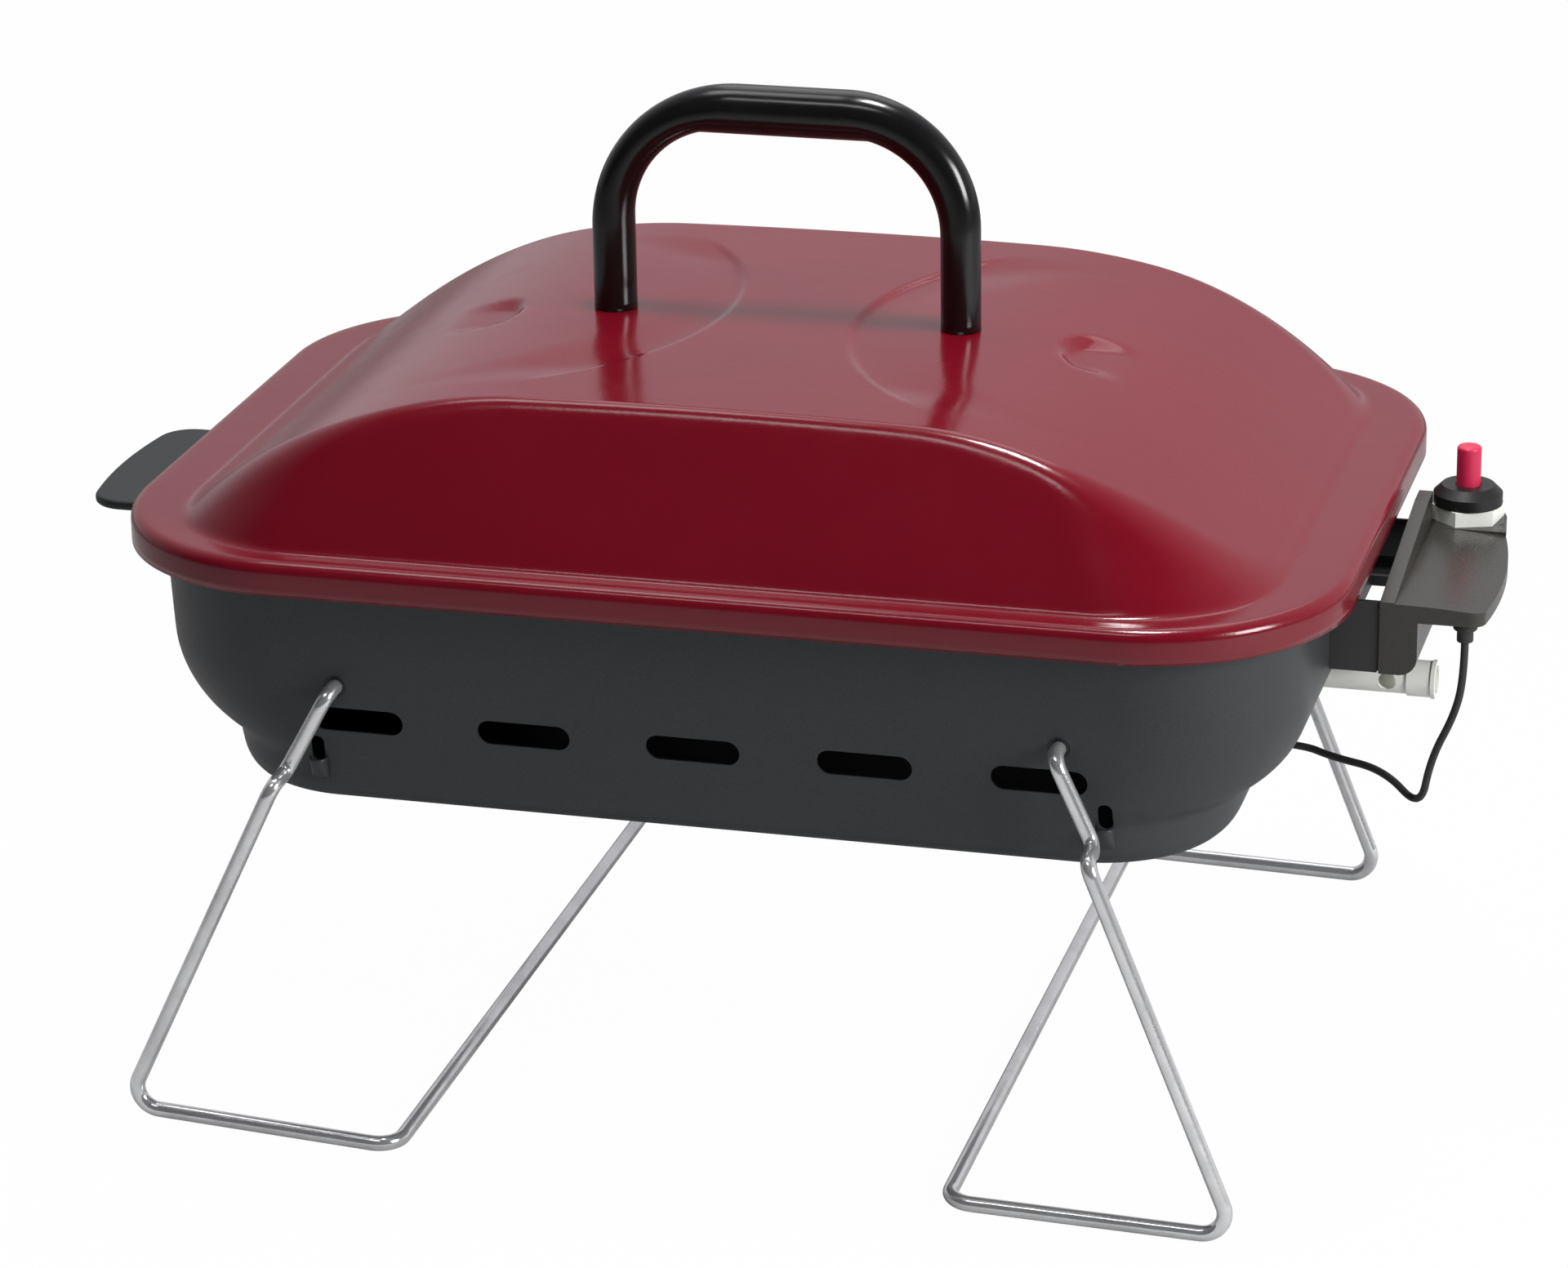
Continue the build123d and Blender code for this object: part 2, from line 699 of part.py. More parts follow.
def burner():
    """Straight tube burner: closed left end, ports along both sides, reduced right neck."""
    outer, neck = burner_diameter / 2, tube_diameter / 2 + burner_wall + screw_gap
    profile = make_face(
        Polyline(
            (burner_left, 0),
            (burner_left, outer),
            (burner_right - neck_length - neck_taper, outer),
            (burner_right - neck_length, neck),
            (burner_right, neck),
            (burner_right, neck - burner_wall),
            (burner_right - neck_length, neck - burner_wall),
            (burner_right - neck_length - neck_taper, outer - burner_wall),
            (burner_left + burner_wall, outer - burner_wall),
            (burner_left + burner_wall, 0),
            close=True,
        )
    )
    body = Pos(0, 0, tube_height) * revolve(Plane.XZ * profile, Axis.X)
    for i in range(port_count):
        x = (i - (port_count - 1) / 2) * port_pitch
        for side in (-1, 1):
            tip = (x, side * burner_diameter * 0.6, tube_height + burner_diameter * 0.25)
            body -= rod((x, 0, tube_height), tip, port_diameter)
    tab = box(
        (burner_left - tab_length, -tab_width / 2, tube_height - tab_thickness / 2),
        (burner_left + burner_wall, tab_width / 2, tube_height + tab_thickness / 2),
    )
    hole = rod((tab_hole_x, 0, tube_height - 3), (tab_hole_x, 0, tube_height + 3), small_screw + 0.4)
    return body + tab - hole


def burner_bracket():
    """Z-shaped strap from the bowl's floor to the tab on the burner."""
    half, t = tab_width / 2 + 1, bracket_sheet
    shelf = tube_height - tab_thickness / 2
    upright = burner_left - tab_length - tab_gap
    strap = box((upright - bracket_foot, -half, floor_top), (upright, half, floor_top + t))
    strap += box((upright - t, -half, floor_top), (upright, half, shelf))
    strap += box((upright - t, -half, shelf - t), (burner_left - 2, half, shelf))
    strap -= rod((tab_hole_x, 0, shelf - 5), (tab_hole_x, 0, shelf + 1), small_screw + 0.4)
    return strap - rod((bracket_screw_x, 0, floor_top - 1), (bracket_screw_x, 0, floor_top + 5), small_screw + 0.4)


def burner_screws():
    tab_top = tube_height + tab_thickness / 2
    return group(
        [
            pan_screw((tab_hole_x, 0, tab_top), (0, 0, -1), 6, small_screw),
            pan_screw((bracket_screw_x, 0, floor_top + bracket_sheet), (0, 0, -1), floor_screw_length, small_screw),
        ]
    )


def floor_nuts():
    nut = extrude(RegularPolygon(small_nut / 2, 6, major_radius=False), small_nut_height)
    nut -= Pos(0, 0, -1) * extrude(Circle(small_screw / 2 + 0.1), small_nut_height + 2)
    places = [(bracket_screw_x, 0), (electrode_x, electrode_screw_y)]
    return group(Pos(x, y, bowl_bottom - small_nut_height) * nut for x, y in places)


def electrode_bracket():
    half = ceramic_diameter
    plate = box(
        (electrode_x - half, electrode_y - half, floor_top),
        (electrode_x + half, electrode_screw_y + half, floor_top + bracket_sheet),
    )
    plate -= rod((electrode_x, electrode_y, floor_top - 1), (electrode_x, electrode_y, floor_top + 5), ceramic_hole)
    at = (electrode_x, electrode_screw_y)
    return plate - rod((*at, floor_top - 1), (*at, floor_top + 5), small_screw + 0.4)


def electrode_screw():
    seat = (electrode_x, electrode_screw_y, floor_top + bracket_sheet)
    return pan_screw(seat, (0, 0, -1), floor_screw_length, small_screw)


def electrode_ceramic():
    x, y = electrode_x, electrode_y
    seat = floor_top + bracket_sheet
    body = rod((x, y, ceramic_low), (x, y, ceramic_high), ceramic_diameter)
    body += rod((x, y, seat), (x, y, seat + 3), ceramic_diameter + 5)
    body = fillet(body.edges().group_by(Axis.Z)[-1], 1.5)
    return body - rod((x, y, ceramic_low - 1), (x, y, ceramic_high + 1), spark_rod + 0.1)


def spark_electrode():
    """Wire through the ceramic, bent over so that its tip stands off the burner."""
    x, y = electrode_x, electrode_y
    tip = burner_diameter / 2 + spark_gap
    path = FilletPolyline((x, y, lead_z), (x, y, tube_height), (x, tip, tube_height), radius=spark_rod)
    return sweep(Plane((x, y, lead_z)) * Circle(spark_rod / 2), path=path)


def lead_terminal():
    """Rubber sleeve over the lower end of the electrode."""
    start = electrode_x - ceramic_diameter / 2
    body = rod((start, electrode_y, lead_z), (terminal_x, electrode_y, lead_z), terminal_diameter)
    socket = (electrode_x, electrode_y, lead_z)
    return body - rod(socket, (electrode_x, electrode_y, ceramic_low), spark_rod + 0.1)


def lead_boot():
    """Rubber boot under the top plate, tapered to the lead."""
    seat = side_plate_top - housing_wall
    body = rod((boot_x, boot_y, boot_step), (boot_x, boot_y, seat), boot_diameter)
    taper = Pos(boot_x, boot_y, boot_bottom) * loft(
        [Circle(boot_diameter / 2 - 1.2), Pos(0, 0, boot_step - boot_bottom) * Circle(boot_diameter / 2)]
    )
    return body + taper


def igniter_lead():
    """Ignition lead, folded on itself where it turns under the bowl."""
    route = [
        (boot_x, boot_y, boot_bottom),
        (274.0, -39.0, 181.0),
        (270.5, -34.5, 164.0),
        (260.5, -25.0, 141.0),
        (256.0, -17.0, 116.0),
        (240.0, -6.5, 127.0),
        (217.0, 8.0, 124.6),
        (203.0, 20.0, 124.0),
        (terminal_x, electrode_y, lead_z),
    ]
    path = FilletPolyline(*route, radius=lead_bends(route, {4: 4.0}))
    start = Plane(route[0], z_dir=(0, 0, -1)) * Circle(lead_diameter / 2)
    return sweep(start, path=path)


def lead_bends(route, folds):
    """Largest smooth bend at each corner of a route; folds gives the tight ones."""
    points = [Vector(p) for p in route]
    bends = []
    for i in range(1, len(points) - 1):
        before, after = points[i] - points[i - 1], points[i + 1] - points[i]
        half_turn = radians(before.get_angle(after)) / 2
        smooth = 0.45 * min(before.length, after.length) / tan(half_turn)
        bends.append(folds.get(i, smooth))
    return bends


# ---------------------------------------------------------------- cooking parts


def heat_plate():
    """Folded plate over the burner, on two end plates that stand on the bowl's floor."""
    top = [
        (-plate_half_width, plate_eave),
        (-plate_flat, plate_ridge),
        (plate_flat, plate_ridge),
        (plate_half_width, plate_eave),
    ]
    under = [(y, z - sheet) for y, z in reversed(top)]
    roof = Plane.YZ * make_face(Polyline(*top, *under, close=True))
    body = extrude(roof, plate_half_length, both=True)
    for x in (-plate_half_length, plate_half_length - sheet):
        body += Pos(x, 0, 0) * extrude(Plane.YZ * plate_end(), sheet)
    return body


def plate_end():
    """One end of the heat plate, notched over the burner."""
    half = plate_half_width - plate_inset
    slope = (plate_ridge - plate_eave) / (plate_half_width - plate_flat)
    shoulder = plate_eave - sheet / 2 + slope * plate_inset
    ridge = plate_ridge - sheet / 2
    outline = [(half, shoulder), (plate_flat, ridge), (-plate_flat, ridge), (-half, shoulder)]
    face = make_face(Polyline((half, floor_top), *outline, (-half, floor_top), close=True))
    notch = burner_diameter / 2 + notch_gap
    slot = Rectangle(2 * notch, tube_height - floor_top + 1, align=(Align.CENTER, Align.MAX))
    return face - Pos(0, tube_height) * (Circle(notch) + slot)


def grid_support(side):
    """Angle on an end wall: upright behind the screw heads, and a shelf for the grid."""
    wall = bowl_half_length - sheet
    half = support_half_width
    low = side_screw_height - screw_hole / 2 - 2
    angle = box((wall - sheet, -half, low), (wall, half, grid_shelf))
    angle += box((wall - shelf_depth, -half, grid_shelf - sheet), (wall, half, grid_shelf))
    for y in (-side_screw_y, side_screw_y):
        angle -= rod((wall - 5, y, side_screw_height), (wall + 1, y, side_screw_height), screw_hole)
    return mirror(angle, Plane.YZ) if side < 0 else angle


def bar_end(x):
    """Where the grid's frame is, across the width, at a place along its length."""
    past = abs(x) - (grid_half_length - grid_corner)
    if past <= 0:
        return grid_half_width
    return grid_half_width - grid_corner + (grid_corner**2 - past**2) ** 0.5


def cooking_grid():
    """Chromed wire grid: a frame, two stay wires, and the bars that lie on them."""
    z = grid_shelf + grid_frame / 2
    outline = rounded(grid_half_length, grid_half_width, grid_corner, z).wire()
    start = Plane((0, -grid_half_width, z), z_dir=(1, 0, 0)) * Circle(grid_frame / 2)
    frame = sweep(start, path=outline)
    stay_y = grid_half_width / 3
    for y in (-stay_y, stay_y):
        frame += rod((-grid_half_length, y, z), (grid_half_length, y, z), grid_frame - 1)
    bars_z = z + grid_frame / 2 + grid_wire / 2 - weld_sink
    pitch = 2 * (grid_half_length - grid_corner / 5) / (grid_bars - 1)
    bars = []
    for i in range(grid_bars):
        x = (i - (grid_bars - 1) / 2) * pitch
        reach = bar_end(x) + grid_wire / 2
        bars.append(rod((x, -reach, bars_z), (x, reach, bars_z), grid_wire))
    return frame + bars


# ---------------------------------------------------------------- build

left_splay = degrees(acos((stand_height - inner_lift) / inner_reach) - acos(stand_height / inner_reach))

nodes = {
    "bowl": bowl,
    "lid": lid,
    "lid_handle": lid_handle,
    "handle_washers": handle_washers,
    "handle_screws": handle_screws,
    "left_leg": lambda: leg(-1, left_splay),
    "right_leg": lambda: leg(1, 0),
    "left_leg_clips": lambda: leg_clips(-1),
    "right_leg_clips": lambda: leg_clips(1),
    "left_grid_support": lambda: grid_support(-1),
    "right_grid_support": lambda: grid_support(1),
    "left_side_screws": lambda: side_screws(-1, lug_boss),
    "right_side_screws": lambda: side_screws(1, bracket_depth + housing_box_depth - 3),
    "lug_handle": lug_handle,
    "side_bracket": side_bracket,
    "bracket_spacers": bracket_spacers,
    "control_housing": control_housing,
    "igniter_barrel": igniter_barrel,
    "igniter_nut": igniter_nut,
    "igniter_collar": igniter_collar,
    "ignition_button": ignition_button,
    "gas_tube": gas_tube,
    "jet_cup": jet_cup,
    "burner": burner,
    "burner_bracket": burner_bracket,
    "burner_screws": burner_screws,
    "floor_nuts": floor_nuts,
    "electrode_bracket": electrode_bracket,
    "electrode_screw": electrode_screw,
    "electrode_ceramic": electrode_ceramic,
    "spark_electrode": spark_electrode,
    "lead_terminal": lead_terminal,
    "lead_boot": lead_boot,
    "igniter_lead": igniter_lead,
    "heat_plate": heat_plate,
    "cooking_grid": cooking_grid,
}

os.makedirs("parts", exist_ok=True)
for name, make in nodes.items():
    export_step(make(), f"parts/{name}.step")
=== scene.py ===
import json
from math import asin, cos, hypot, pi, radians, sin, sqrt, tan

import bmesh
import bpy
from mathutils import Matrix, Vector


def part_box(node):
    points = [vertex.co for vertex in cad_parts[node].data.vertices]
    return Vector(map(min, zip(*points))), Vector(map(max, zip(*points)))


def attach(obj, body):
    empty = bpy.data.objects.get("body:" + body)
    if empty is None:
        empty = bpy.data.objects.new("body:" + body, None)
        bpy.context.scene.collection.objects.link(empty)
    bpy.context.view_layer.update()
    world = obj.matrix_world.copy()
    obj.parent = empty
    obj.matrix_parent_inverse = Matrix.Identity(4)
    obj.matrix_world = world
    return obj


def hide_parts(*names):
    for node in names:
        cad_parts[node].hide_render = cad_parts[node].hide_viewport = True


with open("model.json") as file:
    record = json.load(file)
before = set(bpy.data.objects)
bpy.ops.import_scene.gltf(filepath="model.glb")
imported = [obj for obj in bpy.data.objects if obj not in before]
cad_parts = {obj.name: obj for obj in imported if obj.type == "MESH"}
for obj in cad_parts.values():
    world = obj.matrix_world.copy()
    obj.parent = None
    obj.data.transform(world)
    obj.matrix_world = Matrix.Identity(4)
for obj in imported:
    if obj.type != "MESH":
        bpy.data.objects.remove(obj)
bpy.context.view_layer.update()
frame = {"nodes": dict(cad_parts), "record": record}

# Sizes are in millimetres, up to the studio at the end, which is in metres.
MM = 0.001
SHEET = 1.0                    # thickness of the lid's and bowl's steel
WELD = 0.01                    # points nearer than this are joined
SIDE_STEPS, END_STEPS, CORNER_STEPS = 100, 40, 28     # points round the lid's and bowl's outlines


# ---------------------------------------------------------------- shader writing


class Wire:
    """A shader socket. Python's operators on it add Math nodes."""

    def __init__(self, nodes, socket):
        self.nodes, self.socket = nodes, socket

    def math(self, operation, other, flip=False):
        pair = (other, self) if flip else (self, other)
        return self.nodes.node("Math", {"operation": operation}, dict(enumerate(pair)))

    def __add__(self, other):
        return self.math("ADD", other)

    def __sub__(self, other):
        return self.math("SUBTRACT", other)

    def __rsub__(self, other):
        return self.math("SUBTRACT", other, flip=True)

    def __mul__(self, other):
        return self.math("MULTIPLY", other)

    __radd__, __rmul__ = __add__, __mul__


class Nodes:
    """Adds nodes to one tree."""

    def __init__(self, tree):
        self.tree = tree

    def node(self, kind, settings, inputs, output=0):
        """Make a node: first its settings, such as a ramp's two stops, then its sockets' values or links."""
        made = self.tree.nodes.new("ShaderNode" + kind)
        for name, value in settings.items():
            if name == "stops":
                for stop, (position, shade) in zip(made.color_ramp.elements, value):
                    stop.position, stop.color = position, (shade, shade, shade, 1)
            else:
                setattr(made, name, value)
        for name, value in inputs.items():
            if isinstance(value, Wire):
                self.tree.links.new(value.socket, made.inputs[name])
            else:
                made.inputs[name].default_value = value
        return Wire(self, made.outputs[output]) if made.outputs else None


class Finish(Nodes):
    """A procedural material round one Principled shader, whose constant sockets are set by name."""

    MIX_FACTOR, MIX_FIRST, MIX_SECOND, MIX_COLOR = 0, 6, 7, 2      # places of the Mix node's colour sockets

    def __init__(self, name, **constants):
        self.name = name
        self.material = bpy.data.materials.new(name)
        self.material.use_nodes = True
        super().__init__(self.material.node_tree)
        self.shader = self.tree.nodes["Principled BSDF"]
        self.place = self.node("TexCoord", {}, {}, "Object")
        for socket, value in constants.items():
            self.shader.inputs[socket].default_value = value

    def noise(self, scale, detail=2.0, roughness=0.5, stretch=None):
        """Cloudy noise in the piece's own space, from 0 to 1."""
        place = self.place
        if stretch:
            place = self.node("Mapping", {}, {"Vector": place, "Scale": stretch})
        sockets = {"Vector": place, "Scale": scale, "Detail": detail, "Roughness": roughness}
        return self.node("TexNoise", {}, sockets)

    def ramp(self, factor, low, high):
        """Spread a factor between two stops, each a position and the value there."""
        return self.node("ValToRGB", {"stops": (low, high)}, {"Fac": factor})

    def mix(self, factor, first, second):
        """Blend two colours."""
        sockets = {self.MIX_FACTOR: factor, self.MIX_FIRST: first, self.MIX_SECOND: second}
        return self.node("Mix", {"data_type": "RGBA"}, sockets, self.MIX_COLOR)

    def bump(self, height, depth):
        """Relief up to depth millimetres deep."""
        self.paint(Normal=self.node("Bump", {}, {"Height": height, "Distance": depth * MM}))

    def paint(self, **links):
        """Link wires to the shader's sockets."""
        for socket, wire in links.items():
            self.tree.links.new(wire.socket, self.shader.inputs[socket.replace("_", " ")])


def color(red, green, blue):
    """An sRGB colour, 0 to 255, as the linear RGBA that sockets take."""
    linear = []
    for level in (red, green, blue):
        share = level / 255
        linear.append(((share + 0.055) / 1.055) ** 2.4 if level > 10 else share / 12.92)
    return (*linear, 1.0)


# ---------------------------------------------------------------- finishes


def red_enamel():
    """Deep red gloss paint over pressed steel, faintly rippled."""
    finish = Finish("red_enamel", IOR=1.5)
    cloud = finish.noise(9.0)
    speck = finish.noise(1400.0, detail=1.0)
    tone = finish.mix(cloud, color(109, 8, 26), color(120, 12, 32))
    tone = finish.mix(finish.ramp(speck, (0.35, 0.0), (0.8, 0.35)), tone, color(108, 8, 22))
    scuff = finish.ramp(finish.noise(55.0, detail=5.0, roughness=0.65), (0.45, 0.0), (0.8, 1.0))
    finish.paint(Base_Color=tone, Roughness=scuff * 0.07 + 0.16)
    finish.bump(finish.noise(700.0) * 0.25 + finish.noise(38.0), depth=0.12)
    return finish


def charcoal_enamel():
    """Satin dark grey stove enamel, with a fine grain."""
    finish = Finish("charcoal_enamel", IOR=1.45)
    cloud = finish.noise(12.0, detail=3.0)
    speck = finish.noise(2200.0)
    tone = finish.mix(cloud, color(43, 46, 48), color(53, 57, 59))
    tone = finish.mix(finish.ramp(speck, (0.5, 0.0), (0.75, 0.4)), tone, color(78, 82, 84))
    finish.paint(Base_Color=tone, Roughness=cloud * 0.12 + 0.4)
    finish.bump(speck * 0.5 + finish.noise(60.0), depth=0.06)
    return finish


def black_moulding():
    """Glossy black phenolic, with faint flow marks."""
    finish = Finish("black_moulding", IOR=1.5)
    flow = finish.noise(60.0, detail=4.0, roughness=0.6, stretch=(1.0, 1.0, 0.35))
    tone = finish.mix(flow, color(9, 9, 10), color(22, 22, 23))
    finish.paint(Base_Color=tone, Roughness=flow * 0.14 + 0.12)
    finish.bump(flow, depth=0.08)
    return finish


def chrome_wire(name, tint, bright, dulled):
    """Bright plated steel with drawing marks and dulled patches, at its two roughnesses."""
    finish = Finish(name, Metallic=0.75)
    marks = finish.noise(900.0, detail=3.0, roughness=0.6, stretch=(0.2, 0.2, 1.0))
    dull = finish.ramp(finish.noise(45.0, detail=4.0, roughness=0.6), (0.4, 0.0), (0.75, 1.0))
    shade = (*[0.75 * c for c in tint[:3]], 1.0)
    finish.paint(Base_Color=finish.mix(dull, tint, shade), Roughness=dull * (dulled - bright) + bright)
    finish.bump(marks, depth=0.03)
    return finish


def zinc():
    """Pale zinc plating, mottled; its near-white base is partly painted reflection of the bright
    surroundings.
    """
    finish = Finish("zinc")
    mottle = finish.noise(240.0, detail=4.0, roughness=0.6)
    # Near-white tones: pale zinc lifted into painted reflection.
    tone = finish.mix(mottle, color(236, 238, 230), color(252, 253, 247))
    finish.paint(Base_Color=tone, Roughness=mottle * 0.2 + 0.26)
    finish.bump(mottle, depth=0.05)
    return finish


def moulded(name, dark, light, smoothest, grain, depth):
    """Moulded plastic with a spark-eroded grain of a given scale and depth."""
    finish = Finish(name, IOR=1.46)
    pits = finish.noise(grain, detail=3.0, roughness=0.6)
    cloud = finish.noise(18.0)
    finish.paint(Base_Color=finish.mix(cloud, dark, light), Roughness=pits * 0.15 + smoothest)
    finish.bump(pits, depth)
    return finish


def burnt_steel(name, dark, light):
    """Plain steel, a little heat-tinted."""
    finish = Finish(name, Metallic=0.9)
    cloud = finish.noise(30.0, detail=4.0, roughness=0.6)
    grain = finish.noise(900.0, stretch=(0.15, 1.0, 1.0))
    finish.paint(Base_Color=finish.mix(cloud, dark, light), Roughness=grain * 0.2 + 0.3)
    finish.bump(grain, depth=0.04)
    return finish


def white_ceramic():
    """Glazed insulator, faintly stained."""
    finish = Finish("white_ceramic", IOR=1.5)
    stain = finish.noise(300.0, detail=4.0)
    tone = finish.mix(stain, color(214, 208, 194), color(236, 232, 222))
    finish.paint(Base_Color=tone, Roughness=stain * 0.2 + 0.35)
    finish.bump(stain, depth=0.05)
    return finish


FINISHES = {finish.name: finish.material for finish in (
    red_enamel(),
    charcoal_enamel(),
    black_moulding(),
    chrome_wire("chrome_wire", color(240, 241, 242), 0.12, 0.28),
    chrome_wire("grid_chrome", color(205, 205, 203), 0.16, 0.34),
    zinc(),
    moulded("grip_plastic", color(50, 49, 45), color(60, 59, 54), 0.2, 1500.0, 0.03),
    moulded("lug_plastic", color(26, 31, 30), color(33, 39, 37), 0.4, 1500.0, 0.06),
    moulded("strap_paint", color(44, 44, 44), color(54, 54, 54), 0.34, 2000.0, 0.04),
    burnt_steel("burner_steel", color(128, 112, 96), color(186, 180, 170)),
    burnt_steel("plate_steel", color(112, 104, 98), color(168, 164, 158)),
    burnt_steel("support_steel", color(150, 150, 148), color(190, 190, 188)),
    moulded("red_plastic", color(202, 34, 76), color(220, 48, 90), 0.3, 1800.0, 0.03),
    moulded("black_plastic", color(18, 18, 18), color(28, 28, 28), 0.34, 1800.0, 0.04),
    white_ceramic(),
    moulded("black_rubber", color(42, 42, 43), color(52, 52, 53), 0.5, 1600.0, 0.05),
)}


# ---------------------------------------------------------------- CAD nodes that show as they are

EASED_EDGES = {
    "control_housing": 0.9,
    "lug_handle": 0.5,
    "igniter_nut": 0.5,
    "igniter_collar": 0.4,
    "side_bracket": 0.4,
}
EASED_STEPS = 3
EASED_ANGLE = radians(40)      # edges blunter than this stay as they are


def dress_cad_nodes():
    """Every CAD node takes the finish of its material slot, and moulded or cut edges are eased."""
    slots = {part["node"]: part["material_slot"] for part in frame["record"]["subparts"]}
    for name, node in frame["nodes"].items():
        material = FINISHES[slots[name]]
        if not node.material_slots:
            node.data.materials.append(material)
        for place in node.material_slots:
            place.material = material
        if name in EASED_EDGES:
            eased = node.modifiers.new("eased_edges", "BEVEL")
            eased.width, eased.segments = EASED_EDGES[name] * MM, EASED_STEPS
            eased.limit_method, eased.angle_limit = "ANGLE", EASED_ANGLE
            eased.harden_normals = True


# ---------------------------------------------------------------- helpers


def cad_box_of(node):
    """Low and high corner of a CAD node's box."""
    low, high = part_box(node)
    return [v / MM for v in low], [v / MM for v in high]


def in_scene(name, data):
    """A new object in the scene, holding a mesh, curve, lamp or camera."""
    thing = bpy.data.objects.new(name, data)
    bpy.context.scene.collection.objects.link(thing)
    return thing


def new_piece(name, vertices, faces, finish, body, smooth=True):
    """A welded mesh piece in one finish, riding on a body."""
    mesh = bpy.data.meshes.new(name)
    mesh.from_pydata([Vector(v) * MM for v in vertices], [], faces)
    shape = bmesh.new()
    shape.from_mesh(mesh)
    bmesh.ops.remove_doubles(shape, verts=shape.verts, dist=WELD * MM)
    shape.to_mesh(mesh)
    shape.free()
    mesh.polygons.foreach_set("use_smooth", [smooth] * len(mesh.polygons))
    mesh.materials.append(FINISHES[finish])
    piece = in_scene(name, mesh)
    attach(piece, body)
    return piece


def thicken(skin, thickness, offset):
    """Turn a skin into sheet, inside it at an offset of -1 or half each way at 0."""
    sheet = skin.modifiers.new("sheet", "SOLIDIFY")
    sheet.thickness, sheet.offset = thickness * MM, offset


def grid_faces(rows, columns, start=0, closed=False):
    """Quads between rows of vertices that follow each other."""
    faces = []
    for i in range(rows - 1):
        for j in range(columns if closed else columns - 1):
            k = (j + 1) % columns
            a, b = start + i * columns, start + (i + 1) * columns
            faces.append((a + j, a + k, b + k, b + j))
    return faces


def cap(start, count):
    """One face over a ring of vertices."""
    return tuple(range(start, start + count))


def flipped(faces):
    """The same faces, looking the other way."""
    return [tuple(reversed(face)) for face in faces]


def span(start, end, steps, first=0):
    """Evenly spaced values from start to end, or without the first few."""
    return [start + (end - start) * i / steps for i in range(first, steps + 1)]


def round_angles(count):
    """Angles evenly round a circle."""
    return span(0, 2 * pi, count)[:-1]


def soft_step(value, low, high):
    """0 up to low, 1 from high on, and a smooth rise between."""
    t = min(max((value - low) / (high - low), 0.0), 1.0)
    return t * t * (3 - 2 * t)


def rounded_loop(half_x, half_y, corner):
    """Points round a rounded rectangle, as many on each side and corner whatever its size."""
    points = []
    for quarter in range(4):
        angle = quarter * pi / 2
        out, along = Vector((cos(angle), sin(angle))), Vector((-sin(angle), cos(angle)))
        reach, run, steps = half_x, half_y - corner, END_STEPS
        if quarter % 2:
            reach, run, steps = half_y, half_x - corner, SIDE_STEPS
        points += [out * reach + along * run * t for t in span(-1, 1, steps)[:-1]]
        middle = out * (reach - corner) + along * run
        bend = span(angle, angle + pi / 2, CORNER_STEPS)[:-1]
        points += [middle + corner * Vector((cos(a), sin(a))) for a in bend]
    return points


# ---------------------------------------------------------------- lid

(_, _, SKIRT_BOTTOM), (LID_HALF_X, LID_HALF_Y, CROWN_TOP) = cad_box_of("lid")
FLANGE_TOP = SKIRT_BOTTOM + 13.0
LID_CORNER = 78.0
LID_EDGE = 4.5                 # radius between the skirt and the ledge
DOME_HALF_X, DOME_HALF_Y = LID_HALF_X - 22.5, LID_HALF_Y - 11.3
DOME_CORNER = 62.0
DOME_DRAFT = radians(30)
DOME_FOOT = 2.5                # how far the dome's foot runs out into the ledge
DOME_EDGE, DOME_EDGE_END = 5.25, 10.5  # reach of the top edge's rounding, at its middle and at the ends
DOME_EDGE_FROM = 60.0          # where along the lid that rounding starts to grow
CROWN_HALF = 75.0              # half the length of the near-flat crown
CROWN_ANGLE = radians(1.35)    # its slope where the shoulders start
SHOULDER = 205.0               # radius of the shoulders
SHOULDER_END = radians(36)     # slope of the straight ends below them

SKIRT_STEPS, LID_EDGE_STEPS, LEDGE_STEPS = 3, 8, 4
LEDGE_MARGIN = 2.0             # the fine rings start this far outside the dome
FACE_WIDTH, FACE_STEPS = 44.0, 46
ROOF_STEPS = 56

SEAT_RIGHT, SEAT_LEFT = (156.0, 4.0), (153.0, 8.0)     # middle of each curved step, mirrored on the left
SEAT_RADIUS, SEAT_DEPTH = 128.0, 1.4
SEAT_STEP = 1.4                # half the width of the step
SEAT_FADE = (4.0, 34.0)        # inside the step, the seat runs out to nothing
SEAT_SIDE_FADE = (70.0, 100.0)
DENT_X, DENT_RADIUS, DENT_DEPTH = 128.0, 19.0, 3.4
DENT_STRETCH = 1.15            # how much wider the dent is across the lid than along it
DENT_STEP = 3.5
DENT_FADE, DENT_SIDE_FADE = (112.0, 140.0), (12.0, 19.0)
PRESSED_FROM, PRESSED_FULL = 18.0, 34.0                # heights over the flange where the pressings set in


def arch(x):
    """Height of the dome's lengthwise section: near-flat crown, round shoulder, straight end."""
    x = abs(x)
    crown = CROWN_HALF / sin(CROWN_ANGLE)
    if x <= CROWN_HALF:
        return CROWN_TOP - crown + sqrt(crown * crown - x * x)
    join_z = CROWN_TOP - crown + crown * cos(CROWN_ANGLE)
    bend_x = CROWN_HALF - SHOULDER * sin(CROWN_ANGLE)
    bend_z = join_z - SHOULDER * cos(CROWN_ANGLE)
    end_x = bend_x + SHOULDER * sin(SHOULDER_END)
    if x <= end_x:
        return bend_z + sqrt(SHOULDER**2 - (x - bend_x) ** 2)
    return bend_z + SHOULDER * cos(SHOULDER_END) - (x - end_x) * tan(SHOULDER_END)


def rounding(first, second, reach):
    """How far a rounded join of two surfaces lies from the sharp one, near where their heights meet."""
    gap = max(reach - abs(first - second), 0.0)
    return gap * gap / (4 * reach)


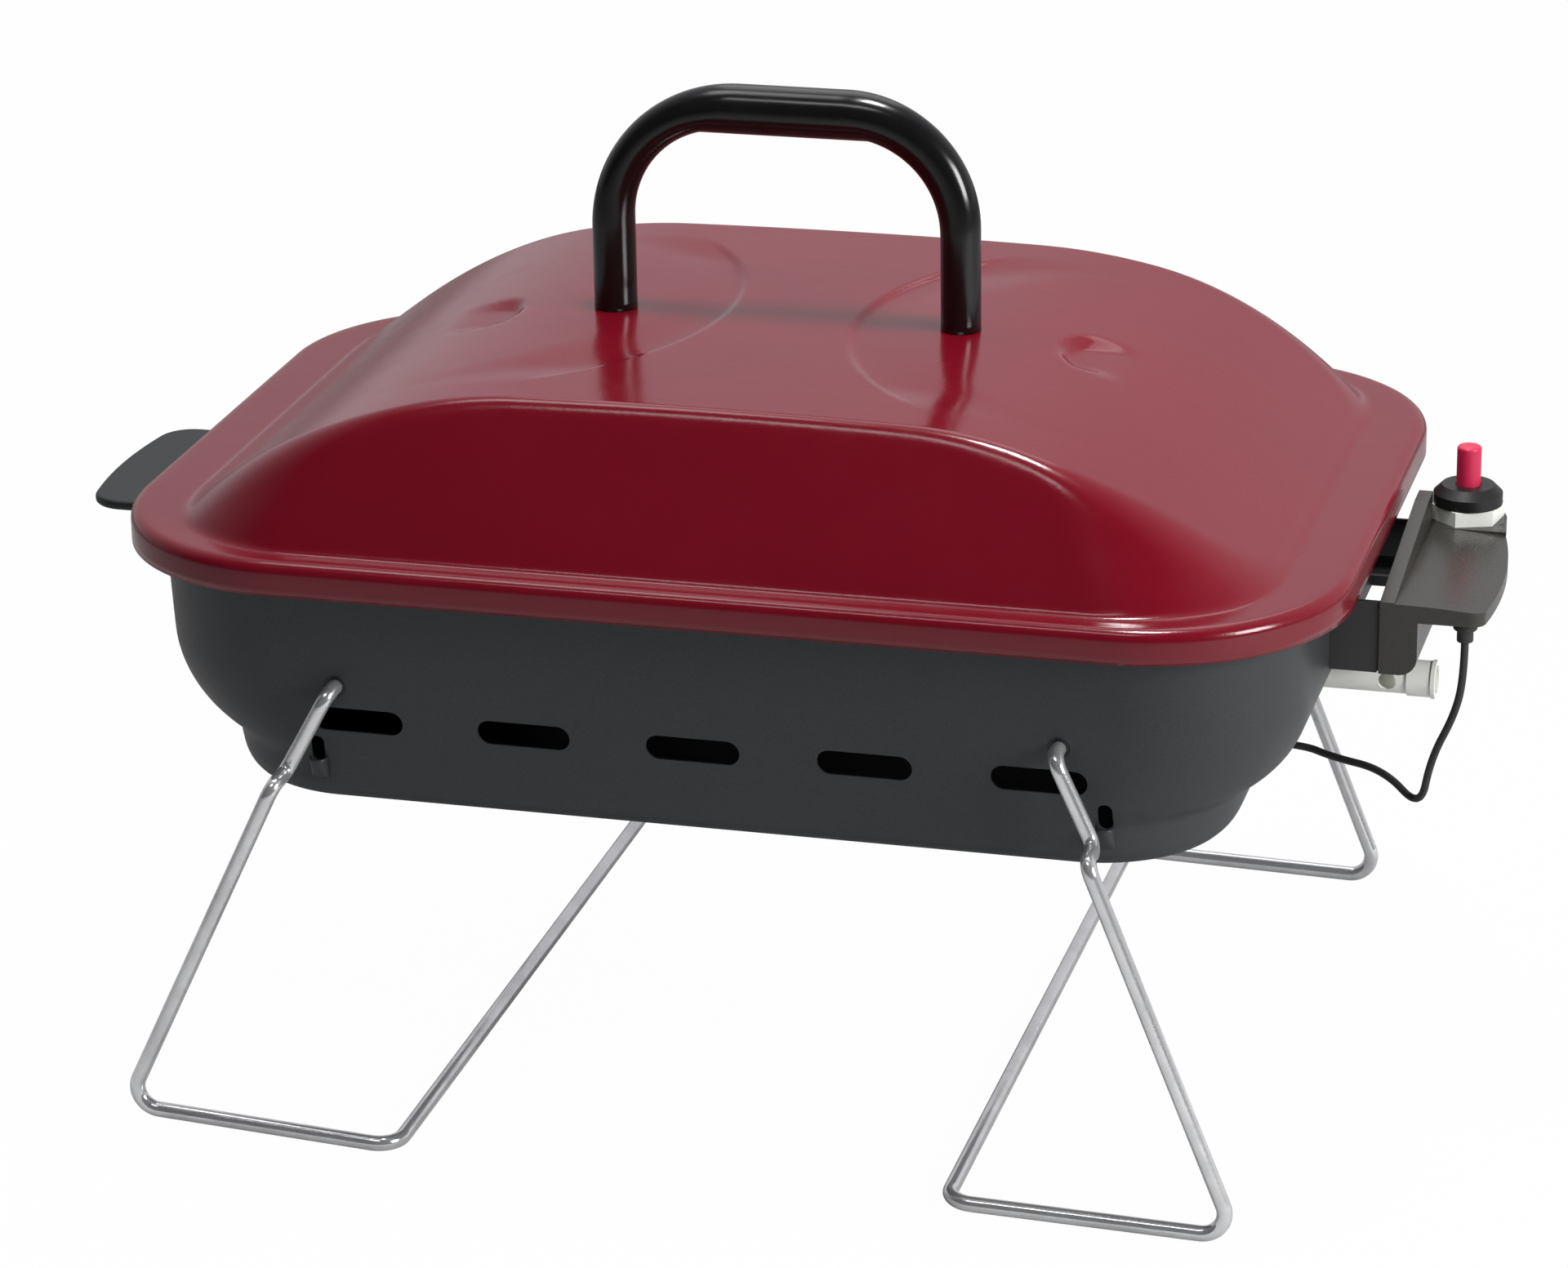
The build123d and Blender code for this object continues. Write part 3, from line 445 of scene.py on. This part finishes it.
def dome_height(x, inward):
    """Height of the lid's skin at a place along it, at a distance in from the foot of the dome."""
    roof, face = arch(x), FLANGE_TOP + inward / tan(DOME_DRAFT)
    edge = DOME_EDGE + (DOME_EDGE_END - DOME_EDGE) * soft_step(abs(x), DOME_EDGE_FROM, DOME_HALF_X)
    dome = min(roof, face) - rounding(roof, face, edge)
    return max(dome, FLANGE_TOP) + rounding(dome, FLANGE_TOP, DOME_FOOT)


def pressed_seats(x, y):
    """Shallow pressings in the crown: a curved step round each handle foot, and a crescent dent beyond it."""
    middle_x, middle_y = SEAT_RIGHT if x > 0 else SEAT_LEFT
    x = abs(x)
    inside = SEAT_RADIUS - hypot(x - middle_x, y - middle_y)
    seat = SEAT_DEPTH * soft_step(inside, -SEAT_STEP, SEAT_STEP) * (1 - soft_step(inside, *SEAT_FADE))
    seat *= 1 - soft_step(abs(y), *SEAT_SIDE_FADE)
    ring = hypot(x - DENT_X, y / DENT_STRETCH)
    uphill = soft_step(DENT_RADIUS - ring, 0.0, DENT_STEP) * (1 - soft_step(x, *DENT_FADE))
    dent = DENT_DEPTH * uphill * (1 - soft_step(abs(y), *DENT_SIDE_FADE))
    return -seat - dent


def lid_rings():
    """The lid's skin as closed rings of points, from the bottom of the skirt up to the crown."""
    rings = []
    profile = [(0.0, z) for z in span(SKIRT_BOTTOM, FLANGE_TOP - LID_EDGE, SKIRT_STEPS)]
    for a in span(pi / 2, 0, LID_EDGE_STEPS, 1):
        profile.append((LID_EDGE * (1 - sin(a)), FLANGE_TOP - LID_EDGE * (1 - cos(a))))
    for inset, z in profile:
        loop = rounded_loop(LID_HALF_X - inset, LID_HALF_Y - inset, LID_CORNER - inset)
        rings.append([(x, y, z) for x, y in loop])
    edge = rings[-1]
    insets = span(-LEDGE_MARGIN, FACE_WIDTH, FACE_STEPS) + span(FACE_WIDTH, DOME_HALF_Y, ROOF_STEPS, 1)
    for inward in insets:
        corner = min(DOME_CORNER, DOME_HALF_Y - inward)
        ring = []
        for x, y in rounded_loop(DOME_HALF_X - inward, DOME_HALF_Y - inward, corner):
            z = dome_height(x, inward)
            pressed = soft_step(z, FLANGE_TOP + PRESSED_FROM, FLANGE_TOP + PRESSED_FULL)
            ring.append((x, y, z + pressed_seats(x, y) * pressed))
        if inward == insets[0]:
            for t in span(0, 1, LEDGE_STEPS, 1)[:-1]:
                rings.append([tuple(Vector(a).lerp(Vector(b), t)) for a, b in zip(edge, ring)])
        rings.append(ring)
    return rings


def lid_shell():
    """Drawn lid: skirt, rounded flange, ledge and dome."""
    rings = lid_rings()
    faces = grid_faces(len(rings), len(rings[0]), closed=True)
    shell = new_piece("lid_shell", [p for ring in rings for p in ring], faces, "red_enamel", "lid")
    thicken(shell, SHEET, -1.0)
    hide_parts("lid")


# ---------------------------------------------------------------- bowl

BOWL_HALF_X, BOWL_HALF_Y = LID_HALF_X - 15.5, LID_HALF_Y - 11.5
BOWL_CORNER = 60.0
BOWL_BOTTOM = 133.0
WALL_DRAFT = radians(6.5)
RIM_UNDER = FLANGE_TOP - 2 * SHEET
RIM_LAP = 4.8                  # from the lid's outside to the rim's edge
RIM_BEND = 2.5
END_CURVE_TOP = 188.0          # above this the ends are upright
PAN_TOP, PAN_STEP = 151.5, 23.0
PAN_EDGE = 10.0                # radius of the pan's lower edge
PAN_SLOPE = 0.06               # how far the pan's ends lean in for each millimetre down
PAN_CORNER_LOSS = 1.5          # how much the corner radius shrinks for each millimetre they stand in
CREASE_REACH, CREASE_SAMPLES = 2.5, 8  # the crease is softened over this much to each side
RIM_STEPS, UPRIGHT_STEPS, CURVED_STEPS, PAN_STEPS = 5, 8, 30, 12
FLOOR_RINGS = (0.7, 0.4)       # shares of the floor's width
BOWL_SHARP = radians(38)       # edges sharper than this aren't shaded smooth

SLOT_COUNT, SLOT_PITCH, SLOT_LENGTH, SLOT_WIDTH, SLOT_HEIGHT = 5, 66.4, 36.6, 10.0, 168.9
PIVOT_X, PIVOT_HEIGHT, PIVOT_HOLE = 140.5, 183.0, 8.6
SCREW_Y, SCREW_HEIGHT, SCREW_HOLE = 25.0, 200.0, 5.8
TUBE_HEIGHT, TUBE_HOLE = 164.0, 13.6
FLOOR_HOLES = ((168.0, 20.0, 7.6), (168.0, 35.0, 4.4), (-175.0, 0.0, 4.4))     # x, y, width
HOLE_END_STEPS = 14
PAST_SIDES, PAST_ENDS, INSIDE_END, PAST_FLOOR = 200.0, 240.0, 180.0, 5.0   # how far the cutting bars reach

STOP_X = (-149.8, 157.3)
STOP_WIDTH, STOP_LOW, STOP_MIDDLE, STOP_HIGH = 5.5, 143.0, 152.0, 161.0
STOP_LAP = 2.0                 # the opening starts this far below the tongue's top
STOP_REACH, STOP_SQUARENESS = 3.6, 4
STOP_MARGIN = 0.6              # how far the tongue spreads past its opening
STOP_SUNK = 0.1                # and starts inside the wall
STOP_SHEET, STOP_POINTS = 0.8, 9

# Black rings in the pivot holes: painted shade that darkens the holes.
HOLE_SHADE_RADIUS, HOLE_SHADE_BORE = 4.25, 3.15
HOLE_SHADE_INSIDE, HOLE_SHADE_PROUD, HOLE_SHADE_TAPER = 1.6, 0.15, 0.4
HOLE_SHADE_AROUND = 40

# Dark strips in the slit beside the strap: painted shade where the slit lies in shadow.
GAP_SHADE_WIDTH, GAP_SHADE_DEPTH, GAP_SHADE_INSET = 0.77, 1.0, 0.5
GAP_SHADE_CLEARANCE = 0.01


def wall_y(z):
    """Half width of the bowl's outside at a height."""
    return BOWL_HALF_Y - (SKIRT_BOTTOM - z) * tan(WALL_DRAFT)


def end_inset(z):
    """How far the ends stand in at a height: an arc, then the step to the pan and its rounded edge."""
    if z >= END_CURVE_TOP:
        return 0.0
    if z > PAN_TOP:
        drop = END_CURVE_TOP - PAN_TOP
        radius = (PAN_STEP**2 + drop**2) / (2 * PAN_STEP)
        return radius - sqrt(radius**2 - (END_CURVE_TOP - z) ** 2)
    deep = min((PAN_TOP - z) / (PAN_TOP - BOWL_BOTTOM), 1.0)
    return PAN_STEP + PAN_SLOPE * (PAN_TOP - z) + PAN_EDGE * (1 - sqrt(1 - deep**2))


def soft_end_inset(z):
    """The ends' inset with the crease above the pan pressed soft."""
    reach = min(CREASE_REACH, z - BOWL_BOTTOM)
    nearby = [end_inset(z + d) for d in span(-reach, reach, CREASE_SAMPLES)]
    return sum(nearby) / len(nearby)


def bowl_rings():
    """The bowl's outside as closed rings, from the rim's edge down the walls and in under the pan."""
    rings = []

    def ring(half_x, half_y, corner, z):
        rings.append([(x, y, z) for x, y in rounded_loop(half_x, half_y, corner)])

    ring(LID_HALF_X - RIM_LAP, LID_HALF_Y - RIM_LAP, LID_CORNER - RIM_LAP, RIM_UNDER)
    for a in span(0, pi / 2, RIM_STEPS):
        out, z = RIM_BEND * (1 - sin(a)), RIM_UNDER - RIM_BEND * (1 - cos(a))
        ring(BOWL_HALF_X + out, wall_y(z) + out, BOWL_CORNER + out, z)
    edge_top = BOWL_BOTTOM + PAN_EDGE
    heights = span(RIM_UNDER - RIM_BEND, END_CURVE_TOP, UPRIGHT_STEPS, 1)
    heights += span(END_CURVE_TOP, edge_top, CURVED_STEPS, 1)
    heights += [edge_top - PAN_EDGE * sin(a) for a in span(0, pi / 2, PAN_STEPS, 1)]
    for z in heights:
        side = wall_y(max(z, edge_top)) - PAN_EDGE + sqrt(max(PAN_EDGE**2 - max(edge_top - z, 0) ** 2, 0))
        inset = soft_end_inset(z)
        loss = PAN_CORNER_LOSS * max(inset - PAN_STEP, 0)
        ring(BOWL_HALF_X - inset, side, BOWL_CORNER - loss, z)
    last = soft_end_inset(BOWL_BOTTOM)
    corner = BOWL_CORNER - PAN_CORNER_LOSS * (last - PAN_STEP)
    for share in FLOOR_RINGS:
        ring((BOWL_HALF_X - last) * share, (wall_y(edge_top) - PAN_EDGE) * share, corner * share, BOWL_BOTTOM)
    return rings


def obround(width, height):
    """Outline of a slot round (0, 0); a circle when both sizes are the same."""
    radius, shift = height / 2, (width - height) / 2
    right = [(shift + radius * cos(a), radius * sin(a)) for a in span(-pi / 2, pi / 2, HOLE_END_STEPS)]
    left = [(-shift + radius * cos(a), radius * sin(a)) for a in span(pi / 2, 3 * pi / 2, HOLE_END_STEPS)]
    return right + left


def bowl_holes():
    """Solid bars that are cut out of the bowl: slots, pivot holes, stop openings, screw and tube holes."""
    vertices, faces = [], []

    def bar(outline, place, low, high):
        start, count = len(vertices), len(outline)
        for w in (low, high):
            vertices.extend(place(u, v, w) for u, v in outline)
        faces.extend(grid_faces(2, count, start, closed=True))
        faces.extend(flipped([cap(start, count)]) + [cap(start + count, count)])

    def through_sides(x, z, outline):
        bar(outline, lambda u, v, w: (x + u, -w, z + v), -PAST_SIDES, PAST_SIDES)

    def through_ends(y, z, width, low, high):
        bar(obround(width, width), lambda u, v, w: (w, y + u, z + v), low, high)

    for i in range(SLOT_COUNT):
        through_sides((i - (SLOT_COUNT - 1) / 2) * SLOT_PITCH, SLOT_HEIGHT, obround(SLOT_LENGTH, SLOT_WIDTH))
    for side, stop in zip((-1, 1), STOP_X):
        through_sides(side * PIVOT_X, PIVOT_HEIGHT, obround(PIVOT_HOLE, PIVOT_HOLE))
        upright = [(-v, u) for u, v in obround(STOP_HIGH - STOP_MIDDLE + STOP_LAP, STOP_WIDTH)]
        through_sides(stop, (STOP_HIGH + STOP_MIDDLE - STOP_LAP) / 2, upright)
    for y in (-SCREW_Y, SCREW_Y):
        through_ends(y, SCREW_HEIGHT, SCREW_HOLE, -PAST_ENDS, PAST_ENDS)
    through_ends(0.0, TUBE_HEIGHT, TUBE_HOLE, INSIDE_END, PAST_ENDS)
    for x, y, width in FLOOR_HOLES:
        under, over = BOWL_BOTTOM - PAST_FLOOR, BOWL_BOTTOM + PAST_FLOOR
        bar(obround(width, width), lambda u, v, w: (x + u, y + v, w), under, over)
    return new_piece("bowl_holes", vertices, faces, "charcoal_enamel", "grill_body")


def bowl_shell():
    """Pressed pan-shaped bowl: rim, drafted walls, curved ends and the stepped-in bottom pan."""
    rings = bowl_rings()
    count = len(rings[0])
    faces = grid_faces(len(rings), count, closed=True) + [cap((len(rings) - 1) * count, count)]
    points = [p for ring in rings for p in ring]
    shell = new_piece("bowl_shell", points, flipped(faces), "charcoal_enamel", "grill_body")
    holes = bowl_holes()
    thicken(shell, SHEET, -1.0)
    cut = shell.modifiers.new("holes", "BOOLEAN")
    cut.operation, cut.object, cut.solver = "DIFFERENCE", holes, "EXACT"
    pressed = bpy.data.meshes.new_from_object(shell.evaluated_get(bpy.context.evaluated_depsgraph_get()))
    shell.modifiers.clear()
    shell.data = pressed
    pressed.set_sharp_from_angle(angle=BOWL_SHARP)
    bpy.data.objects.remove(holes)
    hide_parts("bowl")


def leg_stops():
    """Tongues pressed out of the walls, open at their tops, that the leg arms snap past."""
    vertices, faces = [], []
    half_width = STOP_WIDTH / 2 + STOP_MARGIN
    for middle in STOP_X:
        for face in (-1, 1):
            strip = grid_faces(STOP_POINTS, STOP_POINTS, len(vertices))
            faces += strip if face > 0 else flipped(strip)
            for t in span(0, 1, STOP_POINTS - 1):
                z = STOP_LOW + (STOP_MIDDLE - STOP_LOW) * t
                for s in span(-1, 1, STOP_POINTS - 1):
                    out = STOP_REACH * sin(pi / 2 * t) * (1 - s**STOP_SQUARENESS)
                    vertices.append((middle + s * half_width, face * (wall_y(z) + out - STOP_SUNK), z))
    stops = new_piece("leg_stops", vertices, faces, "charcoal_enamel", "grill_body")
    thicken(stops, STOP_SHEET, 0.0)


def pivot_hole_shade():
    """Black rings in the four pivot holes, following the walls' lean: painted shade that darkens the holes
    round the leg ends.
    """
    vertices, faces = [], []
    section = (
        (HOLE_SHADE_BORE, -HOLE_SHADE_INSIDE),
        (HOLE_SHADE_RADIUS - HOLE_SHADE_TAPER, -HOLE_SHADE_INSIDE),
        (HOLE_SHADE_RADIUS, HOLE_SHADE_PROUD),
        (HOLE_SHADE_BORE, HOLE_SHADE_PROUD),
        (HOLE_SHADE_BORE, -HOLE_SHADE_INSIDE),
    )
    for x in (-PIVOT_X, PIVOT_X):
        for face in (-1, 1):
            rings = grid_faces(len(section), HOLE_SHADE_AROUND, len(vertices), closed=True)
            faces += rings if face < 0 else flipped(rings)
            for radius, out in section:
                for a in round_angles(HOLE_SHADE_AROUND):
                    z = PIVOT_HEIGHT + radius * sin(a)
                    vertices.append((x + radius * cos(a), face * (wall_y(z) + out), z))
    new_piece("pivot_hole_shade", vertices, faces, "black_plastic", "grill_body", smooth=False)


def strap_gap_shade():
    """Dark strips in the black rubber finish, set in the slit between the strap's edges and the control
    housing: painted shade for the shadowed slit.
    """
    low, high = cad_box_of("side_bracket")
    vertices, faces = [], []
    for y in (low[1] + GAP_SHADE_INSET, high[1] - GAP_SHADE_INSET - GAP_SHADE_DEPTH):
        start = len(vertices)
        faces += grid_faces(2, 4, start, closed=True) + flipped([cap(start, 4)]) + [cap(start + 4, 4)]
        for z in (low[2] + GAP_SHADE_INSET, high[2] - GAP_SHADE_INSET):
            for x, deep in ((0, 0), (GAP_SHADE_WIDTH, 0), (GAP_SHADE_WIDTH, GAP_SHADE_DEPTH), (0, GAP_SHADE_DEPTH)):
                vertices.append((high[0] + GAP_SHADE_CLEARANCE + x, y + deep, z))
    new_piece("strap_gap_shade", vertices, faces, "black_rubber", "grill_body", smooth=False)


# ---------------------------------------------------------------- lid handle

(_, _, HANDLE_FOOT), (_, _, HANDLE_CAD_TOP) = cad_box_of("lid_handle")
GRIP_TOP = HANDLE_CAD_TOP + 0.5        # the moulding stands a little over its plain CAD solid
GRIP_DEPTH = 19.6
GRIP_HALF_WIDTH = 9.3
GRIP_HALF_LENGTH = 34.0        # of the straight underside, which meets the bends at a slight corner
LEG_INSIDE = 61.6
LEG_HALF_WIDTH = 8.45
INNER_BEND = 37.0
RIGHT_SIDE, LEFT_SIDE = (77.4, 52.5), (78.7, 60.0)     # outside of the leg, radius of the outer bend
NECK_SLIM = 1.3                # how much narrower the handle is half way round its bends
GRIP_STEPS, BEND_STEPS, LEG_STEPS, HANDLE_AROUND = 12, 30, 12, 40


def handle_stations(leg_outside, outer_bend):
    """Outer point, inner point and half width at stations from the middle of the grip to a foot."""
    outer_x, outer_z = leg_outside - outer_bend, GRIP_TOP - outer_bend
    inner_x = LEG_INSIDE - INNER_BEND
    start = asin((GRIP_HALF_LENGTH - inner_x) / INNER_BEND)
    inner_z = GRIP_TOP - GRIP_DEPTH - INNER_BEND * cos(start)
    stations = []
    for t in span(0, 1, GRIP_STEPS):
        outer, inner = (outer_x * t, GRIP_TOP), (GRIP_HALF_LENGTH * t, GRIP_TOP - GRIP_DEPTH)
        stations.append((outer, inner, GRIP_HALF_WIDTH))
    for a in span(0, pi / 2, BEND_STEPS, 1):
        b = start + (pi / 2 - start) * a / (pi / 2)
        outer = (outer_x + outer_bend * sin(a), outer_z + outer_bend * cos(a))
        inner = (inner_x + INNER_BEND * sin(b), inner_z + INNER_BEND * cos(b))
        width = GRIP_HALF_WIDTH + (LEG_HALF_WIDTH - GRIP_HALF_WIDTH) * a / (pi / 2) - NECK_SLIM * sin(2 * a)
        stations.append((outer, inner, width))
    for t in span(0, 1, LEG_STEPS, 1):
        outer = (leg_outside, outer_z + (HANDLE_FOOT - outer_z) * t)
        inner = (LEG_INSIDE, inner_z + (HANDLE_FOOT - inner_z) * t)
        stations.append((outer, inner, LEG_HALF_WIDTH))
    return stations


def lid_handle():
    """One-piece moulded loop, slim round its bends and full across the grip."""
    right, mirrored = handle_stations(*RIGHT_SIDE), handle_stations(*LEFT_SIDE)
    left = [((-ox, oz), (-ix, iz), width) for (ox, oz), (ix, iz), width in reversed(mirrored[1:])]
    vertices = []
    for (ox, oz), (ix, iz), width in left + right:
        for a in round_angles(HANDLE_AROUND):
            share = (1 + cos(a)) / 2
            vertices.append((ix + (ox - ix) * share, width * sin(a), iz + (oz - iz) * share))
    faces = flipped(grid_faces(len(left + right), HANDLE_AROUND, closed=True))
    faces += [cap(0, HANDLE_AROUND)] + flipped([cap(len(vertices) - HANDLE_AROUND, HANDLE_AROUND)])
    handle = new_piece("lid_handle_loop", vertices, faces, "black_moulding", "lid")
    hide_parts("lid_handle")


# ---------------------------------------------------------------- lead boot

BOOT_WIDE, BOOT_SLIM = 4.65, 3.15      # radii above and below the step
BOOT_STEP = 4.6                # height of the step over the boot's bottom
BOOT_AROUND = 48


def lead_boot():
    """Rubber boot in two steps, from the grip's plate down to the lead."""
    low, high = cad_box_of("lead_boot")
    middle_x, middle_y = (low[0] + high[0]) / 2, (low[1] + high[1]) / 2
    bottom, top = low[2], high[2]
    step = bottom + BOOT_STEP
    profile = [
        (BOOT_SLIM - 0.6, bottom),
        (BOOT_SLIM - 0.15, bottom + 0.15),
        (BOOT_SLIM, bottom + 0.6),
        (BOOT_SLIM, step - 0.5),
        (BOOT_SLIM + 0.2, step - 0.1),
        (BOOT_WIDE - 0.5, step + 0.3),
        (BOOT_WIDE - 0.1, step + 0.7),
        (BOOT_WIDE, step + 1.3),
        (BOOT_WIDE, top),
    ]
    vertices = []
    for radius, z in profile:
        for a in round_angles(BOOT_AROUND):
            vertices.append((middle_x + radius * cos(a), middle_y + radius * sin(a), z))
    faces = grid_faces(len(profile), BOOT_AROUND, closed=True)
    faces += flipped([cap(0, BOOT_AROUND)]) + [cap(len(vertices) - BOOT_AROUND, BOOT_AROUND)]
    sleeve = new_piece("lead_boot_sleeve", vertices, faces, "black_rubber", "grill_body")
    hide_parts("lead_boot")


# ---------------------------------------------------------------- igniter lead

LEAD_ROUTE = [
    (274.0, -39.0, 195.8),
    (274.0, -39.0, 181.0),
    (270.5, -34.5, 164.0),
    (260.5, -25.0, 141.0),
    (256.0, -17.0, 116.0),
    (240.0, -6.5, 127.0),
    (217.0, 8.0, 124.6),
    (203.0, 20.0, 124.0),
    (178.5, 20.0, 124.0),
]
LEAD_DIAMETER = 3.0


def igniter_lead():
    """One smooth line through the route, from the boot to the electrode under the bowl."""
    curve = bpy.data.curves.new("igniter_lead_wire", "CURVE")
    curve.dimensions = "3D"
    curve.bevel_depth = LEAD_DIAMETER / 2 * MM
    curve.bevel_resolution = 5
    curve.use_fill_caps = True
    spline = curve.splines.new("NURBS")
    spline.points.add(len(LEAD_ROUTE) - 1)
    for point, place in zip(spline.points, LEAD_ROUTE):
        point.co = (*[v * MM for v in place], 1.0)
    spline.order_u = 3
    spline.use_endpoint_u = True
    spline.resolution_u = 16
    curve.materials.append(FINISHES["black_rubber"])
    lead = in_scene("igniter_lead_wire", curve)
    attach(lead, "grill_body")
    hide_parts("igniter_lead")


# ---------------------------------------------------------------- stage, light and camera, in metres

WHITE = (1.0, 1.0, 1.0, 1.0)
FLOOR_HALF = 6.0
FLOOR_FADE = 0.985             # how much of the floor's own look white takes over for the camera
WORLD_TINT = (0.97, 0.95, 1.0, 1.0)
WORLD_DEPTH, WORLD_STRENGTH = (-0.35, 0.55), (0.05, 0.6)       # from in front of the grill to behind it

LAMP_AIM = (0, 0, 0.2)
LAMPS = {                      # place, width, height and power in watts
    "overhead": ((-0.45, 0.05, 1.5), 0.4, 0.4, 2.0),
    "overhead_spot": ((0.13, -0.05, 1.45), 0.2, 0.2, 9.5),
    "overhead_back": ((-0.1, 0.8, 1.3), 0.8, 0.8, 2.5),
    "right_key": ((1.35, -0.52, 0.72), 0.5, 0.5, 16.0),
    "front_strip": ((-0.15, -0.9, 1.65), 0.8, 0.2, 2.6),
}

CAMERA_PLACE = (0.5151, -1.8863, 0.9089)
CAMERA_TURN, CAMERA_DIP, CAMERA_ROLL = radians(15.38), radians(20.927), radians(-0.951)
CAMERA_SENSOR, CAMERA_LENS = 36.0, 120.07              # in millimetres
CAMERA_REACH = 30.0


def studio_floor():
    """A wide plain floor that fades into the white surroundings."""
    finish = Finish("pale_floor", Roughness=0.9)
    camera_ray = finish.node("LightPath", {}, {}, "Is Camera Ray")
    white = finish.node("Emission", {}, {"Color": WHITE, "Strength": 1.0})
    plain = Wire(finish, finish.shader.outputs[0])
    mixed = finish.node("MixShader", {}, {0: camera_ray * FLOOR_FADE, 1: plain, 2: white})
    tone = finish.mix(finish.noise(3.0, detail=3.0), color(196, 196, 196), color(204, 204, 204))
    finish.paint(Base_Color=tone)
    finish.tree.links.new(mixed.socket, finish.tree.nodes["Material Output"].inputs["Surface"])
    mesh = bpy.data.meshes.new("studio_floor")
    corners = [(x * FLOOR_HALF, y * FLOOR_HALF, 0) for x, y in ((-1, -1), (1, -1), (1, 1), (-1, 1))]
    mesh.from_pydata(corners, [], [cap(0, 4)])
    mesh.materials.append(finish.material)
    in_scene("studio_floor", mesh)


def surroundings():
    """White seen directly; in reflections bright behind the grill and dim in front of it."""
    world = bpy.data.worlds.new("studio")
    bpy.context.scene.world = world
    world.use_nodes = True
    world.node_tree.nodes.clear()
    nodes = Nodes(world.node_tree)
    direction = nodes.node("TexCoord", {}, {}, "Generated")
    depth = nodes.node("SeparateXYZ", {}, {0: direction}, "Y")
    near, far = WORLD_DEPTH
    dim, bright = WORLD_STRENGTH
    dimming = {"Value": depth, "From Min": near, "From Max": far, "To Min": dim, "To Max": bright}
    strength = nodes.node("MapRange", {}, dimming)
    lighting = nodes.node("Background", {}, {"Color": WORLD_TINT, "Strength": strength})
    backdrop = nodes.node("Background", {}, {"Color": WHITE, "Strength": 1.0})
    camera_ray = nodes.node("LightPath", {}, {}, "Is Camera Ray")
    seen = nodes.node("MixShader", {}, {0: camera_ray, 1: lighting, 2: backdrop})
    nodes.node("OutputWorld", {}, {"Surface": seen})


def studio_lights():
    """Soft rectangular lamps, all turned to the grill, that the camera doesn't see."""
    for name, (place, width, height, power) in LAMPS.items():
        light = bpy.data.lights.new(name, "AREA")
        light.shape = "RECTANGLE"
        light.size, light.size_y = width, height
        light.energy = power
        lamp = in_scene(name, light)
        lamp.location = place
        lamp.rotation_euler = (Vector(LAMP_AIM) - Vector(place)).to_track_quat("-Z", "Y").to_euler()
        lamp.visible_camera = False


def camera():
    """Looks down on the front from the right, with a long lens."""
    data = bpy.data.cameras.new("camera")
    data.sensor_width, data.lens = CAMERA_SENSOR, CAMERA_LENS
    data.clip_end = CAMERA_REACH
    viewer = in_scene("camera", data)
    turn = Matrix.Rotation(CAMERA_TURN, 4, "Z") @ Matrix.Rotation(pi / 2 - CAMERA_DIP, 4, "X")
    viewer.matrix_world = Matrix.Translation(CAMERA_PLACE) @ turn @ Matrix.Rotation(CAMERA_ROLL, 4, "Z")
    bpy.context.scene.camera = viewer


camera()
igniter_lead()
dress_cad_nodes()
lid_shell()
lid_handle()
bowl_shell()
leg_stops()
pivot_hole_shade()
strap_gap_shade()
lead_boot()
studio_floor()
surroundings()
studio_lights()
bpy.context.scene.view_settings.view_transform = "Standard"
